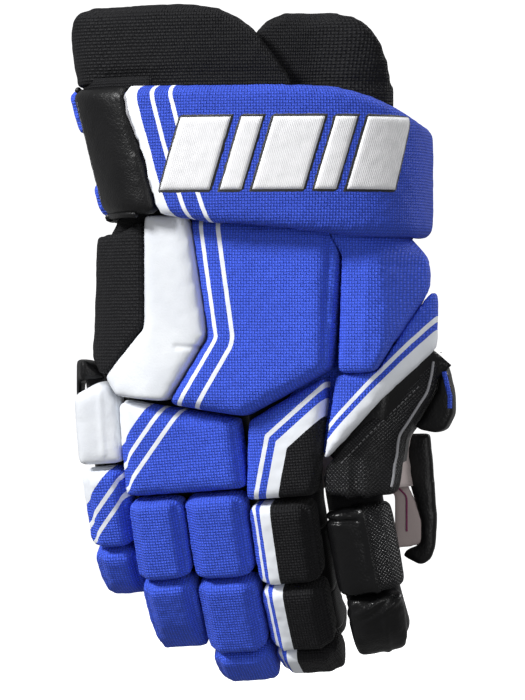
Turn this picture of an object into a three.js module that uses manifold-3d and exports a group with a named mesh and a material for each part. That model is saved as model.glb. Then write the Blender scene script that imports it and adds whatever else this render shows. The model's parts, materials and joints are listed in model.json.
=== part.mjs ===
// Ice-hockey player's glove for the right hand, standing on nothing: a hand holds it.
// Millimetres. +Z runs from the finger tips towards the cuff, the back of the hand faces -Y,
// the palm faces +Y and the thumb is on the +X side. The origin is the centre of the cuff's mouth.
import * as THREE from 'three';
import { mergeVertices } from 'three/addons/utils/BufferGeometryUtils.js';
import Module from 'manifold-3d';

// Cuff: a rounded-box plan, all shells are offsets of it.
const CUFF_CENTRE = [2.6, -9];
const CUFF_HALF = [95, 56];
const CUFF_POWER = 2.6;
const CUFF_BOTTOM = -66;
const CUFF_TAPER = 0.27;
const BAND_SLANT = 14;
const BAND_THICK = 13;
const PALM_CUFF_THICK = 8;
const LINER_OFFSET = 15.5;
const LINER_THICK = 3;
const FLARE_THICK = 10;
const WRIST_Z = -75;

// Hand shell and back-of-hand padding.
const SHELL_X = [-72, 80.5];
const SHELL_BACK_Y = -22.5;
const SHELL_WALL = 3;
const SHELL_TOP_Z = -84;
const PAD_INNER_Y = -23;
const PAD_OUTER_Y = -47.5;
const PAD_TOP_Z = -68;
const PAD_BEVEL = 5.5;

// Fingers. A roll lies between PAD_IN and PAD_OUT above the finger's own axis.
const LEAN = 4.5;
const PAD_IN = 11;
const PAD_OUT = 31;
const PALM_SIDE = 13;
const STALL_WALL = 2.6;
const JOINT_GAP = 0.5;
const BACK_BEND = 2.5;
const FINGERS = {
  index: { knuckle: [18.3, -6, -164], width: 33.5, roll: [50, 47, 42, 30], tilt: [6, 17, 30, 62] },
  middle: { knuckle: [-15.9, -6, -171], width: 31.5, roll: [39, 48, 46, 32], tilt: [6, 16, 27, 56] },
  ring: { knuckle: [-47.7, -6, -171], width: 28.5, roll: [39, 47, 46], tilt: [6, 16, 36] },
  little: { knuckle: [-76.4, -3, -154], width: 24, roll: [43, 46, 34], tilt: [6, 16, 40] },
};
const FLEX = [25, 35, 28, 21];

// Thumb.
const THUMB_TURN = 16;
const THUMB_LEAN = 11;
const THUMB_WIDTH = 32;
const THUMB_JOINT = [56.1, 5, -214];
const THUMB_PIVOT = [74, 8, -163.5];
const THUMB_LENGTH = [44, 30];
const THUMB_TILT = [6, 22];
const THUMB_FLEX = [20, 16];
const THUMB_OUT = 26;

const COLOUR = {
  blue_fabric: [0x2338d0, 0.72],
  white_leather: [0xf0f1f6, 0.5],
  black_mesh: [0x17171a, 0.8],
  black_leather: [0x1c1c1e, 0.5],
  nash_palm: [0x9a8f90, 0.9],
  liner_fabric: [0x2b2b30, 0.9],
  webbing: [0x202024, 0.85],
};

const rad = THREE.MathUtils.degToRad;
const wasm = await Module();
wasm.setup();

/** A mesh with its own material. */
function mesh(name, slot, geometry) {
  const [color, roughness] = COLOUR[slot];
  const material = new THREE.MeshStandardMaterial({ color, roughness, metalness: 0 });
  const result = new THREE.Mesh(geometry, material);
  result.name = name;
  return result;
}

/** Turns a closed geometry outside out when its faces point inwards. */
function faceOut(geometry) {
  const p = geometry.attributes.position;
  const index = geometry.index.array;
  const a = new THREE.Vector3();
  const b = new THREE.Vector3();
  const c = new THREE.Vector3();
  let volume = 0;
  for (let i = 0; i < index.length; i += 3) {
    a.fromBufferAttribute(p, index[i]);
    b.fromBufferAttribute(p, index[i + 1]);
    c.fromBufferAttribute(p, index[i + 2]);
    volume += a.dot(b.cross(c));
  }
  if (volume < 0) {
    for (let i = 0; i < index.length; i += 3) {
      [index[i], index[i + 1]] = [index[i + 1], index[i]];
    }
  }
  return geometry;
}

/** Twice the signed area of a flat polygon. */
function area2(points) {
  return points.reduce((sum, [x, y], i) => {
    const [u, v] = points[(i + 1) % points.length];
    return sum + x * v - u * y;
  }, 0);
}

/** Closed solid through rings of equal length; the caps are cut up in the plane of axes u and v. */
function loft(rings, u = 0, v = 1) {
  const n = rings[0].length;
  const index = [];
  for (let r = 0; r + 1 < rings.length; r += 1) {
    for (let i = 0; i < n; i += 1) {
      const j = (i + 1) % n;
      index.push(r * n + i, r * n + j, r * n + n + j, r * n + i, r * n + n + j, r * n + n + i);
    }
  }
  for (const [r, side] of [[0, -1], [rings.length - 1, 1]]) {
    const flat = rings[r].map((p) => [p[u], p[v]]);
    const way = side * Math.sign(area2(flat));
    const faces = THREE.ShapeUtils.triangulateShape(flat.map(([x, y]) => new THREE.Vector2(x, y)), []);
    for (const [i, j, k] of faces) {
      const same = Math.sign(area2([flat[i], flat[j], flat[k]])) === way;
      index.push(r * n + i, r * n + (same ? j : k), r * n + (same ? k : j));
    }
  }
  const geometry = new THREE.BufferGeometry();
  geometry.setAttribute('position', new THREE.Float32BufferAttribute(rings.flat(2), 3));
  geometry.setIndex(index);
  return faceOut(geometry);
}

/** A flat polygon moved inwards by d. */
function inset(points, d) {
  const way = Math.sign(area2(points));
  return points.map(([x, y], i) => {
    const before = points[(i + points.length - 1) % points.length];
    const after = points[(i + 1) % points.length];
    const e1 = new THREE.Vector2(x - before[0], y - before[1]).normalize();
    const e2 = new THREE.Vector2(after[0] - x, after[1] - y).normalize();
    const n1 = new THREE.Vector2(-e1.y, e1.x).multiplyScalar(way);
    const n2 = new THREE.Vector2(-e2.y, e2.x).multiplyScalar(way);
    const sum = n1.clone().add(n2);
    const scale = (2 * d) / Math.max(sum.lengthSq(), 0.6);
    return [x + sum.x * scale, y + sum.y * scale];
  });
}

/** Prism along Y over an outline in X and Z, bevelled at its y1 end. */
function prismY(outline, y0, y1, bevel = 0) {
  const at = (points, y) => points.map(([x, z]) => [x, y, z]);
  const rings = [at(outline, y0)];
  if (bevel > 0) {
    rings.push(at(outline, y1 - Math.sign(y1 - y0) * bevel));
    rings.push(at(inset(outline, bevel * 0.35), y1 - Math.sign(y1 - y0) * bevel * 0.3));
  }
  rings.push(at(bevel > 0 ? inset(outline, bevel) : outline, y1));
  return loft(rings, 0, 2);
}

/** Prism along Z over an outline in X and Y. */
function prismZ(outline, z0, z1) {
  return loft([z0, z1].map((z) => outline.map(([x, y]) => [x, y, z])));
}

/** Prism along X over an outline in Y and Z. */
function prismX(outline, x0, x1) {
  return loft([x0, x1].map((x) => outline.map(([y, z]) => [x, y, z])), 1, 2);
}

/** Geometry to manifold solid. */
function toSolid(geometry) {
  const copy = geometry.clone();
  copy.deleteAttribute('normal');
  copy.deleteAttribute('uv');
  const g = mergeVertices(copy, 1e-4);
  const vertProperties = new Float32Array(g.attributes.position.array);
  const triVerts = new Uint32Array(g.index.array);
  return new wasm.Manifold(new wasm.Mesh({ numProp: 3, vertProperties, triVerts }));
}

/** Manifold solid to geometry. */
function toGeometry(solid) {
  const m = solid.getMesh();
  const geometry = new THREE.BufferGeometry();
  geometry.setAttribute('position', new THREE.Float32BufferAttribute(m.vertProperties.slice(), 3));
  geometry.setIndex(Array.from(m.triVerts));
  return geometry;
}

/** The space all the given geometries share. */
function common(...geometries) {
  return toGeometry(geometries.map(toSolid).reduce((a, b) => a.intersect(b)));
}

/** The first geometry without the others. */
function cut(first, ...others) {
  return toGeometry(others.map(toSolid).reduce((a, b) => a.subtract(b), toSolid(first)));
}

/** A round bar along a smooth path. */
function bar(points, radius, steps) {
  const path = new THREE.CatmullRomCurve3(points.map((p) => new THREE.Vector3(...p)));
  const ring = new THREE.Shape();
  ring.absarc(0, 0, radius, 0, Math.PI * 2);
  const options = { steps, curveSegments: 5, bevelEnabled: false, extrudePath: path };
  const g = mergeVertices(stripped(new THREE.ExtrudeGeometry(ring, options)), 1e-4);
  return faceOut(g);
}

/** A geometry without normals and texture coordinates. */
function stripped(geometry) {
  geometry.deleteAttribute('normal');
  geometry.deleteAttribute('uv');
  return geometry;
}

// ---------------------------------------------------------------- cuff

/** Point of the cuff's plan at an angle in degrees, moved inwards by offset. */
function plan(angle, offset) {
  const c = Math.cos(rad(angle));
  const s = Math.sin(rad(angle));
  const power = 2 / CUFF_POWER;
  const x = (CUFF_HALF[0] - offset) * Math.sign(c) * Math.abs(c) ** power;
  const y = (CUFF_HALF[1] - offset) * Math.sign(s) * Math.abs(s) ** power;
  return [CUFF_CENTRE[0] + x, CUFF_CENTRE[1] + y];
}

/** A shell that follows the plan from one angle to another; low and high give Z at a fraction. */
function shell({ from, to, outer, thick, low, high, steps, lean = 0, skew = () => 0 }) {
  const rings = [];
  for (let i = 0; i <= steps; i += 1) {
    const f = i / steps;
    const angle = from + (to - from) * f;
    const offset = typeof outer === 'function' ? outer(f) : outer;
    const z0 = low(f);
    const z1 = high(f);
    const corner = (inward, z, round) => {
      const turn = (skew(f) * Math.max(-z, 0)) / 70;
      const [x, y] = plan(angle + turn, offset + inward - (lean * Math.max(z, 0)) / 50);
      return [x, y, z + round];
    };
    const soft = Math.min(thick * 0.35, 4);
    const knee = lean > 0 ? [1] : [];
    rings.push([
      corner(0, z0, soft),
      ...knee.map((z) => corner(0, z, 0)),
      corner(0, z1, -soft),
      corner(soft, z1, 0),
      corner(thick - soft, z1, 0),
      corner(thick, z1, -soft),
      ...knee.map((z) => corner(thick, z, 0)),
      corner(thick, z0, soft),
      corner(thick - soft, z0, 0),
      corner(soft, z0, 0),
    ]);
  }
  return loftClosedCaps(rings);
}

/** Loft whose end caps are fans, for rings that do not lie in one coordinate plane. */
function loftClosedCaps(rings) {
  const n = rings[0].length;
  const index = [];
  for (let r = 0; r + 1 < rings.length; r += 1) {
    for (let i = 0; i < n; i += 1) {
      const j = (i + 1) % n;
      index.push(r * n + i, r * n + j, r * n + n + j, r * n + i, r * n + n + j, r * n + n + i);
    }
  }
  const last = (rings.length - 1) * n;
  for (let i = 1; i + 1 < n; i += 1) {
    index.push(0, i + 1, i);
    index.push(last, last + i, last + i + 1);
  }
  const geometry = new THREE.BufferGeometry();
  geometry.setAttribute('position', new THREE.Float32BufferAttribute(rings.flat(2), 3));
  geometry.setIndex(index);
  return faceOut(geometry);
}

/** Top edge of the wide band: level over the back of the wrist, lower towards the thumb. */
function bandTop(f) {
  return -20 * THREE.MathUtils.smoothstep(f, 0.33, 0.9);
}

/** Height between points of a polyline. */
function heightAt(points, x) {
  const i = points.findIndex(([at]) => at > x);
  if (i <= 0) {
    return points[i === 0 ? 0 : points.length - 1][1];
  }
  const [a, b] = [points[i - 1], points[i]];
  return a[1] + ((b[1] - a[1]) * (x - a[0])) / (b[0] - a[0]);
}

/** Draws the little-finger side of the cuff in towards its lower edge. */
function tapered(geometry) {
  const p = geometry.attributes.position;
  for (let i = 0; i < p.count; i += 1) {
    const side = THREE.MathUtils.smoothstep(-p.getX(i), 40, 90);
    p.setX(i, p.getX(i) + CUFF_TAPER * Math.max(-p.getZ(i), 0) * side);
  }
  return geometry;
}

function cuffBand() {
  return shell({
    from: -121, to: 25, outer: 0, thick: BAND_THICK, steps: 30,
    low: (f) => CUFF_BOTTOM - 12 * THREE.MathUtils.smoothstep(f, -0.1, 0.55),
    high: bandTop,
    skew: (f) => BAND_SLANT * Math.max(0, 1 - f / 0.2),
  });
}

function cuffSidePanel() {
  return shell({
    from: -163, to: -122, outer: 1, thick: 10, steps: 10,
    low: () => CUFF_BOTTOM, high: () => 0,
    skew: (f) => BAND_SLANT * f * f,
  });
}

function cuffPalmPanel() {
  const panel = shell({
    from: 27, to: 195.5, outer: 0, thick: PALM_CUFF_THICK, steps: 32,
    low: (f) => CUFF_BOTTOM - 11 * (1 - THREE.MathUtils.smoothstep(f, 0, 0.3)),
    high: (f) => -20 + 20 * THREE.MathUtils.smoothstep(f, 0.5, 0.95),
  });
  const notch = prismY([[-100, -49], [-84.5, -49], [-84.5, -22], [-100, -22]], -40, -8);
  return cut(panel, notch);
}

function cuffStrap() {
  return shell({
    from: 181.2, to: 195.5, outer: 2, thick: 3, steps: 5,
    low: () => -48, high: () => -23,
  });
}

function cuffLiner() {
  const rings = [LINER_OFFSET, LINER_OFFSET + LINER_THICK].map((offset) => {
    const points = [];
    for (let angle = 0; angle < 360; angle += 9) {
      points.push(plan(angle, offset));
    }
    return points;
  });
  return cut(prismZ(rings[0], -58, -24), prismZ(rings[1], -70, -10));
}

function flareBack() {
  return shell({
    from: -176, to: -73, thick: FLARE_THICK, steps: 26, lean: 6,
    outer: (f) => 5 + 9.2 * THREE.MathUtils.smoothstep(f, 0.22, 0.42),
    low: (f) => -22 + 22.8 * THREE.MathUtils.smoothstep(0.5 - f, 0, 0.05),
    high: (f) => heightAt([
      [0, 18], [0.06, 28], [0.13, 36], [0.2, 40], [0.3, 42.5], [0.6, 43], [0.75, 42.4], [0.82, 40],
      [0.855, 33.5], [0.9, 25.5], [0.94, 15], [1, 5],
    ], f),
  });
}

function flareThumb() {
  return shell({
    from: -86, to: -14, steps: 20, thick: FLARE_THICK, lean: 5,
    outer: (f) => 25.5 - 12 * THREE.MathUtils.smoothstep(f, 0.3, 0.75),
    low: () => -22,
    high: (f) => heightAt([
      [0, 27], [0.06, 34.5], [0.14, 37.6], [0.5, 38], [0.62, 35], [0.74, 28.5], [0.86, 18], [0.94, 8], [1, 1],
    ], f),
  });
}

// ---------------------------------------------------------------- hand

const THUMB_EDGE = new THREE.Vector2(0.735, -0.678);

/** Everything on the thumb's side of the slanting joint line, at a distance along its normal. */
function beyondThumbLine(distance) {
  const along = new THREE.Vector2(0.678, 0.735);
  const at = (s, d) => [THUMB_EDGE.x * d + along.x * s, THUMB_EDGE.y * d + along.y * s];
  const outline = [at(-400, distance), at(400, distance), at(400, 500), at(-400, 500)];
  return prismY(outline, -120, 120);
}

function handShell() {
  const [x0, x1] = SHELL_X;
  const outer = [
    [x0, 12], [x0, -12], [x0 + 10, SHELL_BACK_Y], [x1 - 12, SHELL_BACK_Y], [x1, -12], [x1, 12],
  ];
  const inner = [
    [x0 + SHELL_WALL, 30], [x0 + SHELL_WALL, -11], [x0 + 11, SHELL_BACK_Y + SHELL_WALL],
    [x1 - 13, SHELL_BACK_Y + SHELL_WALL], [x1 - SHELL_WALL, -11], [x1 - SHELL_WALL, 30],
  ];
  const outline = [
    [x0 - 1, SHELL_TOP_Z], [x1 + 1, SHELL_TOP_Z], [x1 + 1, -112], [50, -140],
    [6, -164], [-36, -159], [-60, -149], [x0 - 1, -140],
  ];
  const arch = common(prismZ(outer, -200, -60), prismY(outline, 40, -60));
  return cut(arch, prismZ(inner, -210, -50));
}

/** Palm leather: a plate that comes closer to the back of the hand towards the knuckles. */
function palmPlate(x, y0, thick, outline) {
  const profile = [[y0, -80], [y0 + thick, -80], [y0 + thick - 8, -170], [y0 - 8, -170]];
  return common(prismX(profile, x[0], x[1]), prismY(outline, -20, 60));
}

function palm() {
  return palmPlate([-90, 90], 14.5, 3, [
    [-68.4, -84], [76.8, -84], [76.8, -112], [40, -148], [36, -157], [-58, -160], [-62, -146],
    [-68.4, -144],
  ]);
}

function palmPatch() {
  return palmPlate([-90, 90], 17.9, 2, [
    [-40, -112], [40, -112], [40, -122], [24, -150], [-44, -150],
  ]);
}

function heelPad() {
  const outline = [[-66, -88], [8, -88], [8, -106], [-6, -109], [-66, -109]];
  return palmPlate([-90, 90], 17.9, 8, outline);
}

function backPad() {
  return prismY([
    [-21, PAD_TOP_Z], [51, PAD_TOP_Z], [56.6, -84], [51.5, -145], [6, -169.5],
    [-33, -163.5], [-11.8, -128.5],
  ], PAD_INNER_Y, PAD_OUTER_Y, PAD_BEVEL);
}

function whitePad() {
  const outline = [
    [-45, PAD_TOP_Z + 1.6], [-22.6, PAD_TOP_Z + 1.6], [-13.4, -128], [-34.6, -162], [-62, -159.5],
    [-68.5, -150], [-45, -124],
  ];
  const profile = [
    [-72, PAD_INNER_Y], [-72, -34], [-60, -42], [-44, -47], [-5, PAD_OUTER_Y], [-5, PAD_INNER_Y],
  ];
  return common(prismY(outline, -10, -70), prismZ(profile, -200, -60));
}

function sideWall() {
  const outline = [
    [-46.2, PAD_TOP_Z], [-46.2, -123.4], [-69.4, -149], [-73, -149], [-83.3, -141], [-77.6, -76],
    [-60, -75],
  ];
  const profile = [
    [-46, -43], [-60, -38], [-74, -26], [-83, -6], [-83, 11], [SHELL_X[0] - 0.6, 11],
    [SHELL_X[0] - 0.6, PAD_INNER_Y], [-46, PAD_INNER_Y],
  ];
  return common(prismY(outline, 40, -70), prismZ(profile, -200, -60));
}

function cornerPatch() {
  const profile = [[-91.5, -8], [-86, -18], [-74, -14], [-74, 3], [-86, 4], [-91.5, 2]];
  return common(
    prismZ(profile, -200, -60),
    prismY([
      [-91.5, -140.6], [-84.6, -141.2], [-74.5, -149.8], [-77, -151], [-89.4, -151.6], [-89.4, -163],
      [-91.5, -164.5],
    ], 40, -70),
  );
}

function thumbSidePad() {
  const outline = [
    [58.6, -82.5], [68, -83], [78, -91.6], [97.2, -89.8], [99, -94], [97.9, -104.6], [73.9, -146.8],
    [56, -147.6],
  ];
  const profile = [
    [54, PAD_INNER_Y - 0.5], [54, -38], [58, -42], [78, -42], [99, -16], [98, -7],
    [SHELL_X[1] + 0.8, -7], [SHELL_X[1] + 0.8, PAD_INNER_Y - 0.5],
  ];
  return common(prismY(outline, 40, -70), prismZ(profile, -200, -60));
}

function diagonalRoll() {
  const outline = [
    [54.6, -148.3], [74.6, -147.5], [98.7, -105.2], [101.5, -107], [101, -134], [47.4, -191.8],
  ];
  const profile = [
    [44, -24], [44, -33], [56, -39], [72, -37], [88, -26], [103, -8], [101, 0], [88, -9], [76, -22],
  ];
  return common(prismY(outline, 40, -70), prismZ(profile, -230, -60));
}

// ---------------------------------------------------------------- fingers

/** Angle in degrees between one part of a finger and the next; the first is against the hand. */
function bendAt(finger, k) {
  return finger.tilt[k] - (k > 0 ? finger.tilt[k - 1] : 0);
}

/** Length of a part of a finger along the finger's own axis. */
function boneLength(finger, k) {
  const last = k + 1 === finger.roll.length;
  const near = Math.tan(rad(bendAt(finger, k) / 2));
  const far = last ? 0 : Math.tan(rad(bendAt(finger, k + 1) / 2));
  return finger.roll[k] - PAD_OUT * (near + far);
}

/** Z of a part's end face at height y: it opens on the palm side so that the finger can bend. */
function endFace(y, bend, flex) {
  if (y < 0) {
    return -JOINT_GAP - y * Math.tan(rad(bend / 2 - BACK_BEND));
  }
  return -JOINT_GAP - y * Math.tan(rad((bend + flex) / 2 + 1));
}

/** Rings of a solid between a part's two end faces. */
function betweenEnds(profile, { length, bends, flexes, bevel = 0 }) {
  const rings = [];
  const start = (points, d) => points.map(([x, y]) => [x, y, endFace(y, bends[0], flexes[0]) - d]);
  const end = (points, d) => points.map(([x, y]) => {
    return [x, y, -length - endFace(y, bends[1], flexes[1]) + d];
  });
  if (bevel > 0) {
    rings.push(start(inset(profile, bevel), 0), start(inset(profile, bevel * 0.3), bevel * 0.4));
  }
  rings.push(start(profile, bevel), end(profile, bevel));
  if (bevel > 0) {
    rings.push(end(inset(profile, bevel * 0.3), bevel * 0.4), end(inset(profile, bevel), 0));
  }
  return rings;
}

/** Cross-section of a finger roll. */
function rollProfile(width, out = PAD_OUT) {
  const w = width / 2;
  const c = 5;
  return [[-w, -PAD_IN], [-w, c - out], [c - w, -out], [w - c, -out], [w, c - out], [w, -PAD_IN]];
}

/** Cross-section of a stall: palm wall and two side walls, open towards the roll. */
function stallProfile(width) {
  const w = width / 2 - 1;
  const t = STALL_WALL;
  const top = 0.4 - PAD_IN;
  return [
    [-w, top], [-w, PALM_SIDE - 4], [4 - w, PALM_SIDE], [w - 4, PALM_SIDE], [w, PALM_SIDE - 4],
    [w, top], [w - t, top], [w - t, PALM_SIDE - 5], [w - t - 3, PALM_SIDE - t],
    [t + 3 - w, PALM_SIDE - t], [t - w, PALM_SIDE - 5], [t - w, top],
  ];
}

/** Middle part of a finger: roll and stall. */
function addMiddlePart(group, name, slot, width, ends) {
  group.add(mesh(`${name}_roll`, slot, loft(betweenEnds(rollProfile(width), { ...ends, bevel: 3 }))));
  group.add(mesh(`${name}_stall`, 'nash_palm', loft(betweenEnds(stallProfile(width), ends))));
}

/** Finger tip: a roll that thins out over the end, and a stall with a closed end. */
function addTip(group, name, slot, width, { length, bend, flex, out = PAD_OUT }) {
  const start = (points, d) => points.map(([x, y]) => [x, y, endFace(y, bend, flex) - d]);
  const level = (points, z) => points.map(([x, y]) => [x, y, z]);
  const squeezed = (k, low) => rollProfile(width * k, out).map(([x, y]) => {
    return [x, Math.max(y, -low)];
  });
  const roll = [
    start(inset(rollProfile(width, out), 3), 0),
    start(rollProfile(width, out), 3),
    level(rollProfile(width, out), -length * 0.55),
    level(squeezed(0.96, out - 3), -length * 0.8),
    level(squeezed(0.86, out - 8), -length - 2),
    level(squeezed(0.66, out - 13), -length - 5),
  ];
  group.add(mesh(`${name}_roll`, slot, loft(roll)));
  const w = width / 2 - 1;
  const box = (x, y0, y1) => [[-x, y0], [-x, y1 - 4], [4 - x, y1], [x - 4, y1], [x, y1 - 4], [x, y0]];
  const top = 0.4 - PAD_IN;
  const outer = [
    start(box(w, top, PALM_SIDE), 0),
    level(box(w, top, PALM_SIDE), -length + 3),
    level(box(w - 4, top, PALM_SIDE - 4), -length - 4),
  ];
  const t = STALL_WALL;
  const inner = [
    level(box(w - t, top - 5, PALM_SIDE - t), 20),
    level(box(w - t, top - 5, PALM_SIDE - t), -length + 4),
    level(box(w - t - 3, top - 5, PALM_SIDE - t - 3), -length),
  ];
  group.add(mesh(`${name}_stall`, 'nash_palm', cut(loft(outer), loft(inner))));
}

/** A named group that marks a joint: its origin is on the hinge and it is turned about X. */
function jointGroup(name, position, turn) {
  const group = new THREE.Group();
  group.name = name;
  group.position.set(...position);
  group.rotation.x = rad(turn);
  return group;
}

/** Parts of a finger beyond its first roll, each hanging from the one before. */
function addFingerParts(parent, name, finger, slots, firstX) {
  let holder = parent;
  for (let k = 1; k < finger.roll.length; k += 1) {
    const x = k === 1 ? firstX : 0;
    const group = jointGroup(`${name}_${k + 1}`, [x, 0, -boneLength(finger, k - 1)], bendAt(finger, k));
    const length = boneLength(finger, k);
    const id = `${name}_${k + 1}`;
    if (k + 1 === finger.roll.length) {
      addTip(group, id, slots[k - 1], finger.width, { length, bend: bendAt(finger, k), flex: FLEX[k] });
    } else {
      addMiddlePart(group, id, slots[k - 1], finger.width, {
        length,
        bends: [bendAt(finger, k), bendAt(finger, k + 1)],
        flexes: [FLEX[k], FLEX[k + 1]],
      });
    }
    holder.add(group);
    holder = group;
  }
}

/** Root group of a finger at its knuckle, leaning towards the thumb. */
function fingerBase(finger) {
  const base = new THREE.Group();
  base.position.set(...finger.knuckle);
  base.rotation.y = rad(-LEAN);
  return base;
}

/** First part of a finger: a roll with its own outline and a straight stall. */
function addFirstPart(group, name, slot, finger, outline, width, shift) {
  const length = boneLength(finger, 0);
  const flexes = [FLEX[0], FLEX[1]];
  const stall = loft(betweenEnds(stallProfile(width), {
    length, bends: [bendAt(finger, 0), bendAt(finger, 1)], flexes,
  }));
  stall.translate(shift, 0, 0);
  group.add(mesh(`${name}_roll`, slot, prismY(outline(length), -PAD_IN, -PAD_OUT, 3.5)));
  group.add(mesh(`${name}_stall`, 'nash_palm', stall));
}

/** Lower edge of a first roll at its outer face. */
function firstRollEnd(finger, length) {
  return -length + JOINT_GAP - PAD_IN * Math.tan(rad(bendAt(finger, 1) / 2 - BACK_BEND));
}

function indexFinger() {
  const finger = FINGERS.index;
  const base = fingerBase(finger);
  const first = jointGroup('index_1', [0, 0, 0], finger.tilt[0]);
  const outline = (length) => [
    [-11.7, -5.3], [31.5, 14.7], [26.7, -9], [19.6, firstRollEnd(finger, length)],
    [-16.6, firstRollEnd(finger, length)],
  ];
  addFirstPart(first, 'index_1', 'blue_fabric', finger, outline, finger.width, 0);
  addFingerParts(first, 'index', finger, ['black_mesh', 'black_mesh', 'black_mesh'], 0);
  base.add(first);
  return base;
}

function middleAndRing() {
  const { middle, ring } = FINGERS;
  const base = fingerBase(middle);
  const first = jointGroup('midring_1', [0, 0, 0], middle.tilt[0]);
  const apart = Math.hypot(middle.knuckle[0] - ring.knuckle[0], 0) * Math.cos(rad(LEAN));
  const left = -apart - ring.width / 2;
  const right = middle.width / 2;
  const outline = (length) => [
    [left + 1, 15.6], [right - 1, 1], [right, firstRollEnd(middle, length)],
    [left, firstRollEnd(middle, length)],
  ];
  const width = right - left;
  addFirstPart(first, 'midring_1', 'blue_fabric', middle, outline, width, (left + right) / 2);
  addFingerParts(first, 'middle', middle, ['blue_fabric', 'blue_fabric', 'blue_fabric'], 0);
  addFingerParts(first, 'ring', ring, ['blue_fabric', 'blue_fabric'], -apart);
  base.add(first);
  return base;
}

function littleFinger() {
  const finger = FINGERS.little;
  const base = fingerBase(finger);
  const first = jointGroup('little_1', [0, 0, 0], finger.tilt[0]);
  const outline = (length) => [
    [-11.1, -2.1], [3.1, 3.9], [8, 1.7], [12.2, -6.5], [12, firstRollEnd(finger, length)],
    [-12, firstRollEnd(finger, length)],
  ];
  addFirstPart(first, 'little_1', 'white_leather', finger, outline, finger.width, 0);
  addFingerParts(first, 'little', finger, ['blue_fabric', 'blue_fabric'], 0);
  base.add(first);
  return base;
}

// ---------------------------------------------------------------- thumb

function thumbPanel() {
  const outline = [
    [46, -197], [101.7, -136.6], [98.8, -156], [89.8, -172.6], [84.9, -181], [81, -210.5], [46, -210.5],
  ];
  const profile = [
    [40, -14], [40, -25], [52, -30], [68, -27], [84, -14], [103, 1], [103, 9], [82, -2], [66, -12],
  ];
  const plate = common(prismY(outline, 60, -70), prismZ(profile, -230, -60));
  return common(plate, beyondThumbLine(167.2));
}

function thumbBaseStall() {
  const outline = [[46, -197], [101, -139], [98, -156], [89, -173], [83, -181], [79, -207], [46, -207]];
  const profile = [[40, -12], [66, -10.6], [82, -1], [101, 9.5], [101, 19], [40, 19]];
  const block = common(prismY(outline, 60, -70), prismZ(profile, -230, -60), beyondThumbLine(168.5));
  const hollow = [[49, -240], [49, -150], [110, -110], [97, -141], [94, -156], [86, -172], [80, -181], [76, -240]];
  return cut(block, prismY(hollow, -60, 16));
}

function heelFlap() {
  const outline = [
    [102.4, -140], [104.6, -147], [107.4, -159], [107.6, -168.5], [103.5, -176.8], [99, -178.6],
    [90, -177], [87.6, -175.4], [90.4, -172.6], [99.5, -156.5],
  ];
  return prismY(outline, 3, 17, 1.5);
}

function lobeLining() {
  const outline = [
    [74, -184], [78.2, -184], [78.4, -189.7], [80.4, -204.8], [86.2, -224.7], [86.7, -235.7],
    [85.1, -238], [79.4, -239.8], [77.4, -240.2], [77.4, -211], [74, -209],
  ];
  return prismY(outline, 22.4, 25);
}

function lobeRim() {
  const outline = [
    [79.2, -180], [91.6, -179.6], [93.1, -195], [95.3, -224.5], [94.6, -238], [92.2, -245.4],
    [87, -248.6], [77.6, -243.8], [79.8, -240.6], [85.6, -238.6], [87.2, -235.9], [86.8, -224.5],
    [81, -204.6], [79, -189.5],
  ];
  return prismY(outline, 21.4, 27.6);
}

function thumb() {
  const pivot = jointGroup('thumb_1', THUMB_PIVOT, 0);
  const back = new THREE.Group();
  back.position.set(...THUMB_PIVOT).negate();
  back.add(mesh('thumb_panel', 'black_leather', thumbPanel()));
  back.add(mesh('thumb_base_stall', 'nash_palm', thumbBaseStall()));
  back.add(mesh('thumb_heel_flap', 'black_leather', heelFlap()));
  back.add(mesh('thumb_lobe_lining', 'nash_palm', lobeLining()));
  back.add(mesh('thumb_lobe_rim', 'black_leather', lobeRim()));
  const bone = new THREE.Group();
  bone.position.set(...THUMB_JOINT);
  bone.rotation.set(0, rad(-THUMB_LEAN), rad(THUMB_TURN), 'ZYX');
  const second = jointGroup('thumb_2', [0, 0, 0], THUMB_TILT[0]);
  const bends = [THUMB_TILT[0], THUMB_TILT[1] - THUMB_TILT[0]];
  const ends = { length: THUMB_LENGTH[0], bends, flexes: THUMB_FLEX, bevel: 3 };
  const profile = rollProfile(THUMB_WIDTH, THUMB_OUT);
  profile.splice(3, 0, [0, -THUMB_OUT - 2]);
  second.add(mesh('thumb_2_roll', 'black_leather', loft(betweenEnds(profile, ends))));
  ends.bevel = 0;
  second.add(mesh('thumb_2_stall', 'nash_palm', loft(betweenEnds(stallProfile(THUMB_WIDTH - 2), ends))));
  const third = jointGroup('thumb_3', [0, 0, -THUMB_LENGTH[0]], bends[1]);
  const tip = { length: THUMB_LENGTH[1], bend: bends[1], flex: THUMB_FLEX[1], out: THUMB_OUT };
  addTip(third, 'thumb_3', 'black_leather', THUMB_WIDTH - 5.5, tip);
  second.add(third);
  bone.add(second);
  back.add(bone);
  pivot.add(back);
  return pivot;
}

// ---------------------------------------------------------------- assembly

function hand() {
  const group = new THREE.Group();
  group.add(mesh('hand_shell', 'liner_fabric', handShell()));
  group.add(mesh('palm', 'nash_palm', cut(palm(), beyondThumbLine(160))));
  group.add(mesh('palm_patch', 'nash_palm', palmPatch()));
  group.add(mesh('heel_pad', 'black_leather', heelPad()));
  group.add(mesh('back_pad', 'blue_fabric', backPad()));
  group.add(mesh('white_pad', 'white_leather', whitePad()));
  group.add(mesh('side_wall', 'black_mesh', sideWall()));
  group.add(mesh('corner_patch', 'black_leather', cornerPatch()));
  group.add(mesh('thumb_side_pad', 'blue_fabric', thumbSidePad()));
  group.add(mesh('diagonal_roll', 'blue_fabric', diagonalRoll()));
  return group;
}

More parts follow.
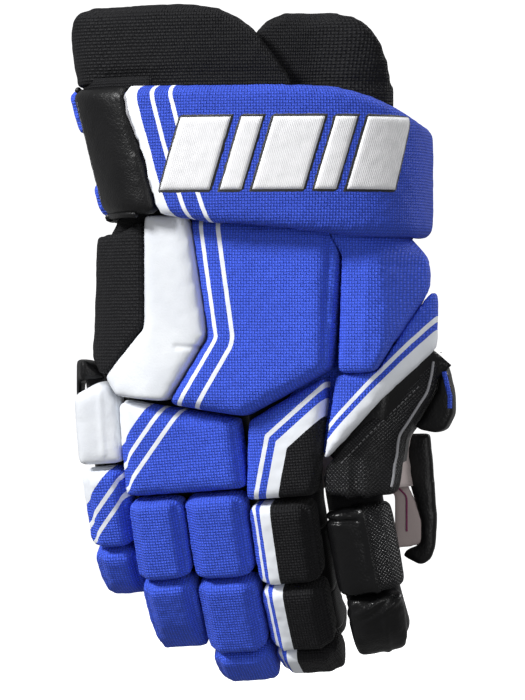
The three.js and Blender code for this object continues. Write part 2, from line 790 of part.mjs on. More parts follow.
function cuff() {
  const group = new THREE.Group();
  group.name = 'cuff';
  group.add(mesh('cuff_band', 'blue_fabric', tapered(cuffBand())));
  group.add(mesh('cuff_side_panel', 'black_leather', tapered(cuffSidePanel())));
  group.add(mesh('cuff_palm_panel', 'blue_fabric', tapered(cuffPalmPanel())));
  group.add(mesh('cuff_strap', 'webbing', tapered(cuffStrap())));
  group.add(mesh('cuff_liner', 'liner_fabric', tapered(cuffLiner())));
  group.add(mesh('flare_back', 'black_mesh', tapered(flareBack())));
  group.add(mesh('flare_thumb', 'black_mesh', flareThumb()));
  const wrist = new THREE.Group();
  wrist.name = 'wrist';
  wrist.position.set(0, 0, WRIST_Z);
  group.add(wrist);
  return group;
}

const glove = new THREE.Group();
glove.add(hand(), cuff(), indexFinger(), middleAndRing(), littleFinger(), thumb());
glove.position.set(-CUFF_CENTRE[0], -CUFF_CENTRE[1], 0);

export default glove;
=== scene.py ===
"""Looks of the hockey glove: padded rolls and pads, sewn sleeves, cuff, palm and studio."""
import json
import math

import bpy
import bmesh
import numpy as np
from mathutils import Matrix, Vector
from mathutils.bvhtree import BVHTree


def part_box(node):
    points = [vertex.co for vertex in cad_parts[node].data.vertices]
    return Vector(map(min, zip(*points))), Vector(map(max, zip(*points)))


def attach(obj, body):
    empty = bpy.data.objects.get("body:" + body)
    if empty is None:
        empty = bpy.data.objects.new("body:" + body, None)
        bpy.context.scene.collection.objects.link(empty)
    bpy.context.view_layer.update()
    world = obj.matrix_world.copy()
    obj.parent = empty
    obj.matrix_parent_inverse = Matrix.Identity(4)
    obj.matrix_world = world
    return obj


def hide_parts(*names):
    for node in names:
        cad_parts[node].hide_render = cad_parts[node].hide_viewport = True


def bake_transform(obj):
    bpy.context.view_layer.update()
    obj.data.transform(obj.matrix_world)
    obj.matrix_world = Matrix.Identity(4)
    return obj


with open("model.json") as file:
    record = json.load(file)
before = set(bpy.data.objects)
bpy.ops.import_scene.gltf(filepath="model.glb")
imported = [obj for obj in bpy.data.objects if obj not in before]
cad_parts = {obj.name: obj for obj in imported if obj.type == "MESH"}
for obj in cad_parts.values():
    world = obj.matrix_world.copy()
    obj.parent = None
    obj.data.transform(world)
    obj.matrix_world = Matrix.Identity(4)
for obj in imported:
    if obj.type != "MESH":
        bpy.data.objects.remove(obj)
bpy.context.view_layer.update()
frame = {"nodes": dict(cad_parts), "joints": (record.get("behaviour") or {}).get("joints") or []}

MM = 0.001
NODES = frame["nodes"]
JOINTS = {j["child"]: j for j in frame["joints"]}

# Cuff plan, the same rounded box as the frame's cuff.
CUFF_HALF = (95.0, 56.0)
CUFF_POWER = 2.6
CUFF_TAPER = 0.27
BAND_START = -121.0
BAND_SLANT = 14.0

# Linear colours.
BLUE = (0.062, 0.132, 0.84)
WHITE = (0.72, 0.745, 0.79)
BLACK = (0.011, 0.011, 0.0125)
LEATHER = (0.0055, 0.0055, 0.006)
NASH = (0.54, 0.455, 0.445)
GREY = (0.30, 0.30, 0.32)
MAGENTA = (0.30, 0.03, 0.14)

# Bodies, width of the rolls, tilt of the last part in degrees, and length of its tip, in millimetres.
FINGERS = {
    "index": (["index_1", "index_2", "index_3", "index_4"], 33.5, 62, 20.0),
    "middle": (["midring_1", "middle_2", "middle_3", "middle_4"], 31.5, 56, 23.0),
    "ring": (["midring_1", "ring_2", "ring_3"], 28.5, 36, 40.0),
    "little": (["little_1", "little_2", "little_3"], 24.0, 40, 27.0),
}
THUMB = ["thumb_2", "thumb_3"]
THUMB_TILT = 22
TO_PALM = np.array([0.0, 1.0, 0.0])

# How far a pad is moved out before it is stuffed, in millimetres; the steps of its simulation.
PAD_PUSH = 0.3
CLOTH_FRAMES = 14

# Finger sleeves, in millimetres: their depth, roundness and wall, and how they turn over a joint.
SLEEVE_TOP = -10.4
SLEEVE_BOTTOM = 13.4
SLEEVE_CENTRE = (SLEEVE_TOP + SLEEVE_BOTTOM) / 2
SLEEVE_SIDES = 40
SLEEVE_POWER = 3.2
SLEEVE_THICK = 1.4
WRINKLE = 0.5
STATIONS = 13
TURN_REACH = 11.0
TIP_START = 0.45  # share of the tip's length at which its cap begins

# Share of the way to its neighbours that a point moves in one round of smoothing.
SMOOTHING = 0.6
# Weights of a face's normal along X, Y and Z when its cloth map picks the axis to be laid flat along.
FACE_FAVOUR = np.array([0.8, 1.25, 0.8])

# The emblem on the cuff band: its height range, and how far it slants for each millimetre up.
EMBLEM_LOW = -54
EMBLEM_HIGH = -17
EMBLEM_SLANT = 0.3


# --- node helpers

class Shader:
    """A node tree with short calls for the nodes the materials use."""

    def __init__(self, name):
        self.material = bpy.data.materials.new(name)
        self.material.use_nodes = True
        self.tree = self.material.node_tree
        self.bsdf = self.tree.nodes["Principled BSDF"]

    def node(self, kind, **settings):
        made = self.tree.nodes.new(kind)
        for key, value in settings.items():
            setattr(made, key, value)
        return made

    def link(self, a, b):
        self.tree.links.new(a, b)

    def put(self, value, socket):
        if isinstance(value, bpy.types.NodeSocket):
            self.link(value, socket)
        else:
            socket.default_value = value

    def math(self, operation, a, b=0.0, clamp=False):
        made = self.node("ShaderNodeMath", operation=operation, use_clamp=clamp)
        self.put(a, made.inputs[0])
        self.put(b, made.inputs[1])
        return made.outputs[0]

    def mul(self, a, b):
        return self.math("MULTIPLY", a, b)

    def add(self, a, b):
        return self.math("ADD", a, b)

    def mix(self, factor, a, b):
        made = self.node("ShaderNodeMix", data_type="RGBA")
        self.put(factor, made.inputs["Factor"])
        for value, socket in ((a, made.inputs[6]), (b, made.inputs[7])):
            self.put(value if isinstance(value, bpy.types.NodeSocket) else (*value, 1.0), socket)
        return made.outputs[2]

    def blendf(self, factor, a, b):
        """Float between a and b."""
        made = self.node("ShaderNodeMix", data_type="FLOAT")
        self.put(factor, made.inputs["Factor"])
        self.put(a, made.inputs[2])
        self.put(b, made.inputs[3])
        return made.outputs[0]

    def attribute(self, name):
        made = self.node("ShaderNodeAttribute", attribute_name=name)
        return made.outputs["Fac"]

    def noise(self, scale, detail=3.0, roughness=0.5):
        made = self.node("ShaderNodeTexNoise")
        made.inputs["Scale"].default_value = scale
        made.inputs["Detail"].default_value = detail
        made.inputs["Roughness"].default_value = roughness
        self.link(self.node("ShaderNodeTexCoord").outputs["Object"], made.inputs["Vector"])
        return made.outputs["Fac"]

    def uv(self):
        """U and V of the cloth map, in millimetres."""
        made = self.node("ShaderNodeUVMap", uv_map="cloth")
        split = self.node("ShaderNodeSeparateXYZ")
        self.link(made.outputs[0], split.inputs[0])
        return split.outputs[0], split.outputs[1]

    def wave(self, value, pitch):
        """0 to 1 and back once in every pitch."""
        sine = self.math("SINE", self.mul(value, math.pi / pitch))
        return self.mul(sine, sine)

    def bump(self, height, distance, strength=1.0, under=None):
        made = self.node("ShaderNodeBump")
        made.inputs["Distance"].default_value = distance
        made.inputs["Strength"].default_value = strength
        self.link(height, made.inputs["Height"])
        if under is not None:
            self.link(under, made.inputs["Normal"])
        return made.outputs[0]

    def finish(self, colour, rough, normal=None, sheen=0.0, coat=0.0, specular=0.5):
        self.link(colour, self.bsdf.inputs["Base Color"])
        self.put(rough, self.bsdf.inputs["Roughness"])
        if normal is not None:
            self.link(normal, self.bsdf.inputs["Normal"])
        self.bsdf.inputs["Sheen Weight"].default_value = sheen
        self.bsdf.inputs["Sheen Roughness"].default_value = 0.45
        self.bsdf.inputs["Coat Weight"].default_value = coat
        self.bsdf.inputs["Coat Roughness"].default_value = 0.35
        self.bsdf.inputs["Specular IOR Level"].default_value = specular
        return self.material


def banded(s, base, bands):
    """Colour along the attribute 'band', in millimetres, and where the smooth white bands lie.

    Bands are (from, to, colour)."""
    colour = base
    smooth = None
    value = s.attribute("band") if bands else None
    for low, high, tone in bands:
        inside = s.mul(s.math("GREATER_THAN", value, low), s.math("LESS_THAN", value, high))
        colour = s.mix(inside, colour, tone)
        if tone == WHITE:
            smooth = inside if smooth is None else s.math("MAXIMUM", smooth, inside)
    return colour, smooth


def woven(name, base, bands=(), pitch=1.5, rough=0.6, sheen=0.04, rib=0.3):
    """Coarse basket weave of round yarns; its colour carries painted shade in the dips between yarns, yarn-to-yarn
    tone that also stands in for small glints, and a noise tone; white bands are smooth tape sewn on, lifted a little
    above WHITE as painted light.
    """
    s = Shader(name)
    u, v = s.uv()
    wander = s.mul(s.math("SUBTRACT", s.noise(90.0, 2.0), 0.5), 0.9)
    u = s.add(u, wander)
    v = s.add(v, s.mul(wander, 0.7))
    wu = s.wave(u, pitch)
    wv = s.wave(v, pitch)
    cu = s.math("FLOOR", s.math("DIVIDE", u, pitch))
    cv = s.math("FLOOR", s.math("DIVIDE", v, pitch))
    odd = s.math("PINGPONG", s.add(cu, cv), 1.0)
    warp = s.mul(wu, s.add(s.mul(wv, 0.5), 0.5))
    weft = s.mul(wv, s.add(s.mul(wu, 0.5), 0.5))
    height = s.blendf(odd, warp, s.mul(weft, 1.0 - rib))
    cell = s.node("ShaderNodeCombineXYZ")
    s.link(cu, cell.inputs[0])
    s.link(cv, cell.inputs[1])
    random = s.node("ShaderNodeTexWhiteNoise", noise_dimensions="2D")
    s.link(cell.outputs[0], random.inputs["Vector"])
    # each yarn's random brightness: yarn-to-yarn tone that also stands in for small glints, a painted highlight
    yarn_tone_and_glint = s.add(s.mul(random.outputs["Value"], 0.12), 0.94)
    cloud = s.add(s.mul(s.noise(45.0, 4.0), 0.3), 0.85)
    # painted shade: the colour is darkened where the weave is low, in the gaps between yarns
    painted_light_and_tone = s.add(s.mul(height, 0.7), 0.62)
    painted_light_and_tone = s.mul(s.mul(painted_light_and_tone, yarn_tone_and_glint), cloud)
    colour, smooth = banded(s, base, bands)
    if smooth is not None:
        # painted light: on the white bands the colour is lifted to about 1.15 times WHITE, with a noise tone
        painted_light_and_tone = s.blendf(smooth, painted_light_and_tone, s.add(s.mul(cloud, 0.2), 0.95))
        height = s.blendf(smooth, height, 0.62)
    if not isinstance(colour, bpy.types.NodeSocket):
        colour = s.mix(0.0, colour, colour)
    bright = s.node("ShaderNodeHueSaturation")
    s.link(colour, bright.inputs["Color"])
    s.link(painted_light_and_tone, bright.inputs["Value"])
    fine = s.bump(s.noise(2600.0, 1.0), 0.00004, 0.3)
    normal = s.bump(height, 0.0006, 1.0, fine)
    grain = s.add(s.mul(s.noise(300.0, 2.0), 0.12), rough - 0.06)
    return s.finish(bright.outputs[0], grain, normal, sheen=sheen, specular=0.14)


def leather(name, base, rough=0.4, grain=520.0, depth=0.00012, emboss=None, coat=0.1):
    """Coated leather: fine pebbles, creases, worn lighter patches, and an optional pressed diamond net whose ridges
    are drawn lighter as a painted highlight.
    """
    s = Shader(name)
    cells = s.node("ShaderNodeTexVoronoi", feature="DISTANCE_TO_EDGE")
    cells.inputs["Scale"].default_value = grain
    s.link(s.node("ShaderNodeTexCoord").outputs["Object"], cells.inputs["Vector"])
    pebble = s.math("MINIMUM", s.mul(cells.outputs["Distance"], 4.0), 1.0)
    creases = s.noise(70.0, 5.0, roughness=0.62)
    wear = s.math("SUBTRACT", s.noise(38.0, 4.0), 0.42)
    wear = s.math("MULTIPLY", wear, 2.4, clamp=True)
    normal = s.bump(creases, 0.0009, 0.35)
    normal = s.bump(pebble, depth, 0.5, normal)
    light = tuple(min(1.0, c * 1.35 + 0.004) for c in base)
    colour = s.mix(s.mul(wear, 0.45), base, light)
    roughness = s.add(s.mul(wear, 0.14), rough - 0.04)
    if emboss:
        u, v = s.uv()
        a, b = (s.math("ABSOLUTE", s.math("SINE", s.mul(s.math(way, u, v), math.pi / emboss)))
                for way in ("ADD", "SUBTRACT"))
        net = s.mul(s.math("POWER", s.mul(a, b), 0.6), s.attribute("emboss"))
        normal = s.bump(net, 0.0005, 1.0, normal)
        # painted highlight: the pressed net is drawn four times lighter than the leather, standing in for glints on
        # its dots
        colour = s.mix(net, colour, tuple(c * 4.0 for c in base))
        roughness = s.add(roughness, s.mul(net, -0.08))
    return s.finish(colour, roughness, normal, coat=coat, specular=0.24)


def suede(name):
    """Palm leather: soft nap, darker where it is handled; black ribbed cloth where the value 'side' is 1, drawn
    darker in the grooves between its ribs as painted shade.
    """
    s = Shader(name)
    nap = s.noise(900.0, 3.0)
    hand = s.noise(30.0, 4.0)
    tone = s.mix(s.mul(hand, 0.8), NASH, tuple(c * 0.62 for c in NASH))
    tone = s.mix(s.mul(nap, 0.25), tone, tuple(min(1, c * 1.25) for c in NASH))
    side = s.attribute("side")
    u, v = s.uv()
    ribs = s.mul(s.wave(u, 1.1), s.wave(v, 1.1))
    # painted shade: the rib tops are drawn lighter than the grooves between them
    dark = s.mix(ribs, (0.005, 0.005, 0.006), (0.014, 0.014, 0.016))
    colour = s.mix(side, tone, dark)
    relief = s.blendf(side, nap, ribs)
    normal = s.bump(relief, 0.0002, 0.6, s.bump(hand, 0.0012, 0.4))
    return s.finish(colour, 0.86, normal, sheen=0.25, specular=0.2)


def satin(name, base, pitch=0.55, slant=1.0):
    """Satin stitches lying side by side, drawn darker in the grooves between them as painted shade, with a noise
    tone along the rows.
    """
    s = Shader(name)
    u, v = s.uv()
    line = s.add(u, s.mul(v, slant))
    ridge = s.wave(line, pitch)
    row = s.noise(240.0, 2.0)
    # painted shade: the colour falls to about two thirds of the base in the grooves between stitches
    tone = s.mix(s.mul(s.add(ridge, row), 0.5), tuple(c * 0.68 for c in base), base)
    return s.finish(tone, 0.42, s.bump(ridge, 0.0002, 0.7), sheen=0.3, specular=0.5)


def studio_paper(name, colour, glow):
    s = Shader(name)
    faint = s.noise(3.0, 2.0)
    tone = s.mix(faint, colour, tuple(c * 0.985 for c in colour))
    s.bsdf.inputs["Emission Color"].default_value = (1, 1, 1, 1)
    s.bsdf.inputs["Emission Strength"].default_value = glow
    return s.finish(tone, 0.9, specular=0.1)


def make_materials():
    return {
        "blue": woven("woven_blue", BLUE),
        "blue_stripes": woven("woven_blue_back", BLUE, [(4.3, 6.5, WHITE), (13.2, 15.5, WHITE)]),
        "blue_corner": woven("woven_blue_corner", BLUE, [
            (-90, -1.0, WHITE), (4.9, 7.1, WHITE), (13.2, 15.4, WHITE)]),
        "blue_little": woven("woven_blue_little", BLUE, [
            (-90, 0.0, WHITE), (6.4, 8.6, WHITE), (13.6, 15.7, WHITE), (30.5, 32.6, WHITE)]),
        "blue_ring": woven("woven_blue_ring", BLUE, [(-1.2, 1.0, WHITE)]),
        "diagonal": woven("woven_diagonal", BLUE, [(-20, 5.6, WHITE), (8.2, 10.3, WHITE)]),
        "index_first": woven("woven_index_first", BLUE, [
            (-1.2, 1.2, WHITE), (5.0, 11.4, WHITE), (11.4, 200, BLACK)]),
        "index": woven("woven_index", BLUE, [
            (1.6, 3.8, WHITE), (6.6, 12.2, WHITE), (12.2, 200, BLACK)]),
        # the band's blue is a darker copy of BLUE: painted shade for the band, which lies in shade
        "band": woven("woven_band_painted_shade", (0.046, 0.098, 0.64), [
            (1.0, 9.2, WHITE), (16.6, 18.9, WHITE), (26.6, 28.9, WHITE)]),
        "mesh": woven("woven_black", BLACK, pitch=1.7, rough=0.62, sheen=0.01),
        "mesh_fine": woven("woven_black_fine", BLACK, pitch=1.4, rough=0.7, sheen=0.01),
        "lining": woven("woven_lining", (0.02, 0.02, 0.023), pitch=0.9, rough=0.85, sheen=0.1),
        "web": woven("woven_web", (0.014, 0.014, 0.016), pitch=1.2, rough=0.7, rib=0.7),
        "white": leather("white_leather", WHITE, rough=0.45, depth=0.00006, coat=0.08),
        "black": leather("black_leather", LEATHER, rough=0.36, coat=0.0),
        "emboss": leather("embossed_leather", LEATHER, rough=0.3, emboss=2.0, coat=0.0),
        "grey": leather("grey_piping", GREY, rough=0.5),
        "nash": suede("palm_suede"),
        "thread_white": satin("white_satin", (0.93, 0.93, 0.95), pitch=1.1, slant=0.3),
        "thread_black": satin("black_satin", (0.012, 0.012, 0.013)),
        "thread": satin("grey_thread", (0.2, 0.2, 0.21), pitch=0.3),
        "magenta": satin("magenta_thread", MAGENTA, pitch=0.4),
    }


# --- mesh helpers

def linked(name, data):
    """A new object in the scene."""
    made = bpy.data.objects.new(name, data)
    bpy.context.scene.collection.objects.link(made)
    return made


def new_object(name, vertices, faces):
    mesh = bpy.data.meshes.new(name)
    mesh.from_pydata([tuple(v) for v in vertices], [], [tuple(int(i) for i in f) for f in faces])
    mesh.update()
    mesh.shade_smooth()
    return linked(name, mesh)


def unit(v):
    return v / np.linalg.norm(v)


def values(items, field, width=3, kind=float):
    """One field of all vertices, edges, faces or corners of a mesh, as rows of an array."""
    got = np.empty(len(items) * width, dtype=kind)
    items.foreach_get(field, got)
    return got.reshape(-1, width) if width > 1 else got


def coordinates(mesh):
    return values(mesh.vertices, "co")


def set_coordinates(mesh, co):
    mesh.vertices.foreach_set("co", np.ascontiguousarray(co, dtype=np.float64).ravel())
    mesh.update()


def normals(mesh):
    return values(mesh.vertex_normals, "vector")


def relax(mesh, rounds, push=0.0):
    """Rounds the edges of a mesh off, then moves it out along its normals."""
    co = coordinates(mesh)
    e = values(mesh.edges, "vertices", 2, np.int64)
    count = np.zeros(len(co))
    np.add.at(count, e[:, 0], 1)
    np.add.at(count, e[:, 1], 1)
    for _ in range(rounds):
        total = np.zeros_like(co)
        np.add.at(total, e[:, 0], co[e[:, 1]])
        np.add.at(total, e[:, 1], co[e[:, 0]])
        co = co + SMOOTHING * (total / count[:, None] - co)
    set_coordinates(mesh, co)
    if push:
        set_coordinates(mesh, co + normals(mesh) * push)


def applied(obj, kind, **settings):
    """Puts the object's mesh after one modifier in place of its own."""
    modifier = obj.modifiers.new(kind.lower(), kind)
    for key, value in settings.items():
        setattr(modifier, key, value)
    bpy.context.view_layer.update()
    graph = bpy.context.evaluated_depsgraph_get()
    made = bpy.data.meshes.new_from_object(obj.evaluated_get(graph))
    obj.modifiers.clear()
    old = obj.data
    obj.data = made
    bpy.data.meshes.remove(old)
    made.shade_smooth()
    return obj


def voxel_copy(name, node, voxel, warp=None):
    """An even mesh over the shape of a CAD node; warp moves its points, in millimetres."""
    mesh = NODES[node].data
    vertices = [tuple(v.co) for v in mesh.vertices]
    if warp is not None:
        vertices = warp(np.array(vertices) * 1000) * MM
    made = new_object(name, vertices, [list(p.vertices) for p in mesh.polygons])
    return applied(made, "REMESH", mode="VOXEL", voxel_size=voxel * MM)


def box_map(mesh, basis=None):
    """Cloth map in millimetres: each face is laid flat along the nearest axis of the basis."""
    basis = np.identity(3) if basis is None else np.array(basis, float)
    layer = mesh.uv_layers.get("cloth") or mesh.uv_layers.new(name="cloth")
    co = coordinates(mesh) @ basis.T * 1000
    normal = np.abs(values(mesh.polygons, "normal") @ basis.T) * FACE_FAVOUR
    axis = np.repeat(normal.argmax(1), values(mesh.polygons, "loop_total", 1, np.int64))
    p = co[values(mesh.loops, "vertex_index", 1, np.int64)]
    flat = np.where((axis == 0)[:, None], p[:, [1, 2]], np.where((axis == 1)[:, None], p[:, [0, 2]], p[:, [0, 1]]))
    layer.data.foreach_set("uv", flat.astype(np.float32).ravel())


def set_map(mesh, uv):
    """Cloth map from one U and V per vertex."""
    layer = mesh.uv_layers.get("cloth") or mesh.uv_layers.new(name="cloth")
    corner = values(mesh.loops, "vertex_index", 1, np.int64)
    layer.data.foreach_set("uv", np.asarray(uv, np.float32)[corner].ravel())


def set_value(mesh, name, values):
    layer = mesh.attributes.get(name) or mesh.attributes.new(name, "FLOAT", "POINT")
    layer.data.foreach_set("value", np.asarray(values, np.float32))


def face_out(mesh):
    """Makes all faces of a closed mesh point outwards and shades it smooth."""
    bm = bmesh.new()
    bm.from_mesh(mesh)
    bmesh.ops.recalc_face_normals(bm, faces=bm.faces)
    bm.to_mesh(mesh)
    bm.free()
    mesh.shade_smooth()


def double_tube(rows, n):
    """Faces of a hollow tube: rows of n points outside, then as many inside, joined at both ends."""
    faces = []
    base = rows * n
    for r in range(rows - 1):
        for i in range(n):
            j = (i + 1) % n
            a, b = r * n, (r + 1) * n
            faces.append((a + i, a + j, b + j, b + i))
            faces.append((base + a + i, base + b + i, base + b + j, base + a + j))
    last = (rows - 1) * n
    for i in range(n):
        j = (i + 1) % n
        faces.append((i, base + i, base + j, j))
        faces.append((last + i, last + j, base + last + j, base + last + i))
    return faces


def capped_tube(rows, n):
    """Faces of a tube of rows of n points, closed at both ends."""
    faces = []
    for r in range(rows - 1):
        for i in range(n):
            j = (i + 1) % n
            faces.append((r * n + i, r * n + j, (r + 1) * n + j, (r + 1) * n + i))
    faces.append(tuple(range(n))[::-1])
    faces.append(tuple((rows - 1) * n + i for i in range(n)))
    return faces


def sheet_faces(rows, columns):
    """Faces of a closed sheet: rows and columns of points in front, then as many behind."""
    total = rows * columns
    faces = []
    for r in range(rows - 1):
        for c in range(columns - 1):
            a = r * columns + c
            faces.append((a, a + 1, a + columns + 1, a + columns))
            faces.append((total + a, total + a + columns, total + a + columns + 1, total + a + 1))
    rim = list(range(columns)) + [r * columns + columns - 1 for r in range(1, rows)]
    rim += [(rows - 1) * columns + c for c in range(columns - 2, -1, -1)]
    rim += [r * columns for r in range(rows - 2, 0, -1)]
    for a, b in zip(rim, rim[1:] + rim[:1]):
        faces.append((a, total + a, total + b, b))
    return faces


def to_line(points, line):
    """Signed distance in the plane of X and Z from points to a polyline; positive on the line's left."""
    best = np.full(len(points), 1e9)
    sign = np.zeros(len(points))
    for i in range(len(line) - 1):
        a = np.array(line[i], float)
        b = np.array(line[i + 1], float)
        d = b - a
        length = np.hypot(*d)
        d /= length
        r = points - a
        along = r @ d
        low = -1e9 if i == 0 else 0.0
        high = 1e9 if i == len(line) - 2 else length
        t = np.clip(along, low, high)
        off = r - t[:, None] * d
        distance = np.hypot(off[:, 0], off[:, 1])
        side = d[0] * r[:, 1] - d[1] * r[:, 0]
        closer = distance < best
        best = np.where(closer, distance, best)
        sign = np.where(closer, np.sign(side), sign)
    return best * sign


def lumps(p, size):
    """Smooth unevenness from -1 to 1 over about size millimetres."""
    total = np.zeros(len(p))
    for k, way in enumerate(((1, 0.3, 0.5), (-0.4, 1, 0.7), (0.6, -0.8, 1), (-1, -0.5, 0.6), (0.2, 0.9, -1))):
        total += np.sin(p @ np.array(way) * (2 * math.pi / size) * (1 + 0.13 * k) + 1.7 * k)
    return total / 5


def ridge(p, a, b, width, height):
    """A soft raised line between two points in X and Z."""
    a, b = np.array(a, float), np.array(b, float)
    d = b - a
    t = np.clip(((p[:, [0, 2]] - a) @ d) / (d @ d), 0, 1)
    off = np.linalg.norm(p[:, [0, 2]] - a - t[:, None] * d, axis=1)
    return height * np.exp(-(off / width) ** 2)


def ramp(x, low, high):
    t = np.clip((x - low) / (high - low), 0, 1)
    return t * t * (3 - 2 * t)


def segment_basis(body, up):
    """Axes of a finger part: across, towards the palm, up along the finger."""
    across = np.array(JOINTS[body]["axis"], float)
    return np.array([across, unit(np.cross(up, across)), up])


def finger_axes(chain, last_tilt):
    """Joint points in millimetres and the up direction of every part of a finger."""
    points = [np.array(JOINTS[b]["pos_m"], float) * 1000 for b in chain]
    across = np.array(JOINTS[chain[0]]["axis"], float)
    points[0] = points[0] + across * ((points[1] - points[0]) @ across)
    ups = [unit(a - b) for a, b in zip(points, points[1:])]
    t = math.radians(last_tilt)
    ups.append(unit(np.cross(across, TO_PALM)) * math.cos(t) - TO_PALM * math.sin(t))
    return points, ups, across


# --- pads

PADS = []


def pad(name, body, node, material, slot, voxel=1.8, rounds=3, cap=0.5, basis=None,
        band=None, warp=None, relief=None, emboss=None, cuff=False):
    """A stuffed pad over a CAD solid. It is simulated with the others, then finished.

    voxel is the mesh's grid and cap the most that a point may move, in millimetres."""
    made = voxel_copy(name, node, voxel, warp)
    relax(made.data, rounds, PAD_PUSH * MM)
    PADS.append(dict(obj=made, body=body, node=node, material=material, slot=slot, cap=cap,
                     basis=basis, band=band, relief=relief, emboss=emboss, cuff=cuff,
                     uneven=0.08 if "leather" in slot else 0.2))


def inflate_pads():
    """One cloth simulation with pressure over all pads together; each point moves at most its cap."""
    vertices = []
    faces = []
    spans = []
    for item in PADS:
        mesh = item["obj"].data
        first = len(vertices)
        vertices.extend(tuple(v.co) for v in mesh.vertices)
        faces.extend([i + first for i in p.vertices] for p in mesh.polygons)
        spans.append((first, len(vertices)))
    everything = new_object("pads_together", vertices, faces)
    rest = coordinates(everything.data)
    cloth = everything.modifiers.new("cloth", "CLOTH")
    settings = cloth.settings
    settings.quality = 4
    settings.mass = 0.25
    settings.tension_stiffness = 18
    settings.compression_stiffness = 12
    settings.shear_stiffness = 8
    settings.bending_stiffness = 0.6
    settings.use_pressure = True
    settings.uniform_pressure_force = 3.5
    settings.effector_weights.gravity = 0
    cloth.point_cache.frame_start = 1
    cloth.point_cache.frame_end = CLOTH_FRAMES
    for number in range(1, CLOTH_FRAMES + 1):
        bpy.context.scene.frame_set(number)
    graph = bpy.context.evaluated_depsgraph_get()
    swollen = bpy.data.meshes.new_from_object(everything.evaluated_get(graph))
    moved = coordinates(swollen) - rest
    bpy.context.scene.frame_set(1)
    for item, (first, last) in zip(PADS, spans):
        mesh = item["obj"].data
        step = moved[first:last]
        length = np.linalg.norm(step, axis=1)
        cap = item["cap"] * MM
        keep = np.where(length > 1e-9, cap * np.tanh(length / cap) / np.maximum(length, 1e-9), 0.0)
        set_coordinates(mesh, coordinates(mesh) + step * keep[:, None])
    old = everything.data
    bpy.data.objects.remove(everything)
    bpy.data.meshes.remove(old)
    bpy.data.meshes.remove(swollen)


def finish_pads():
    for item in PADS:
        made = item["obj"]
        relax(made.data, 1)
        applied(made, "SUBSURF", levels=1)
        mesh = made.data
        flat = coordinates(mesh) * 1000
        depth = item["uneven"] * (lumps(flat, 11.0) + 0.35 * lumps(flat, 4.0))
        if item["relief"] is not None:
            depth = depth + item["relief"](flat)
        if item["cuff"]:
            cuff_map(mesh)
        else:
            box_map(mesh, item["basis"])
        if item["band"] is not None:
            set_value(mesh, "band", item["band"](flat))
        if item["emboss"] is not None:
            set_value(mesh, "emboss", item["emboss"](flat))
        set_coordinates(mesh, (flat + normals(mesh) * depth[:, None]) * MM)
        place(made, item["body"], item["material"], item["node"])


def place(obj, body, material, node=None):
    """Material, body and replaced node of a finished piece."""
    obj.data.materials.append(MATERIALS[material])
    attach(obj, body)
    if node is not None:
        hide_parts(node)


def crossing(obj, material):
    """Material of a finished piece that crosses the joint between two bodies; its transform is baked into its mesh.
    """
    obj.data.materials.append(MATERIALS[material])
    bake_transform(obj)


def sloped_sides(start, across, palm):
    """Relief that slopes the sides of a roll."""
    def relief(p):
        side, deep = (p - start) @ across, (p - start) @ palm
        middle, half = (side.max() + side.min()) / 2, (side.max() - side.min()) / 2
        on = 1 - ramp(deep - deep.min(), 2.0, 7.0)
        return -1.8 * on * ramp(np.abs(side - middle), half - 8.0, half - 1.5)
    return relief


def bands_along(start, across, width):
    """Bands along a finger, measured from its little-finger side."""
    return lambda p: (p - start) @ across + width / 2


def bands_slanted(x, z, cosine, sine):
    """Slanted bands, measured from a line through a point in X and Z."""
    return lambda p: (p[:, 0] - x) * cosine - (p[:, 2] - z) * sine


def index_bands(p):
    return to_line(p[:, [0, 2]], [(47.0, -152.4), (15.3, -180.1), (8.7, -210.4)])


def little_crease(p):
    return ridge(p, (-74.5, -158), (-73.5, -190), 1.6, 0.7)


def shared_roll_shape(p):
    """Widens the roll of the middle and ring fingers towards the index finger and lowers its top."""
    p[:, 0] += 2.2 * ramp(p[:, 0], -14, -2)
    p[:, 2] -= 0.8 * ramp(p[:, 2], -186, -172)
    return p


# What differs from a plain blue roll with sloped sides.
ROLL_LOOKS = {
    "index_1": dict(material="index_first", slot="blue_fabric", band=index_bands, relief=None),
    "little_1": dict(material="white", slot="white_leather", relief=little_crease),
    "midring_1": dict(material="blue_corner", band=bands_slanted(-51.2, -170.7, 0.806, 0.592),
                      warp=shared_roll_shape),
    "little_2": dict(material="blue_little", band=bands_slanted(-71.0, -197.5, 0.79, 0.61)),
    "ring_2": dict(material="blue_ring", band=bands_slanted(-56.5, -208.5, 0.80, 0.60)),
}


def finger_pads():
    """Rolls on the back of the fingers."""
    for finger, (chain, width, last_tilt, _) in FINGERS.items():
        points, ups, across = finger_axes(chain, last_tilt)
        for body, start, up in zip(chain, points, ups):
            if body == "midring_1" and finger == "ring":
                continue
            basis = segment_basis(body, up)
            look = dict(material="blue", slot="blue_fabric", relief=sloped_sides(start, across, basis[1]))
            if finger == "index":
                look.update(material="index", slot="black_mesh", band=bands_along(start, across, width))
            look.update(ROLL_LOOKS.get(body, {}))
            pad(f"{body}_pad", body, f"{body}_roll", basis=basis, **look)


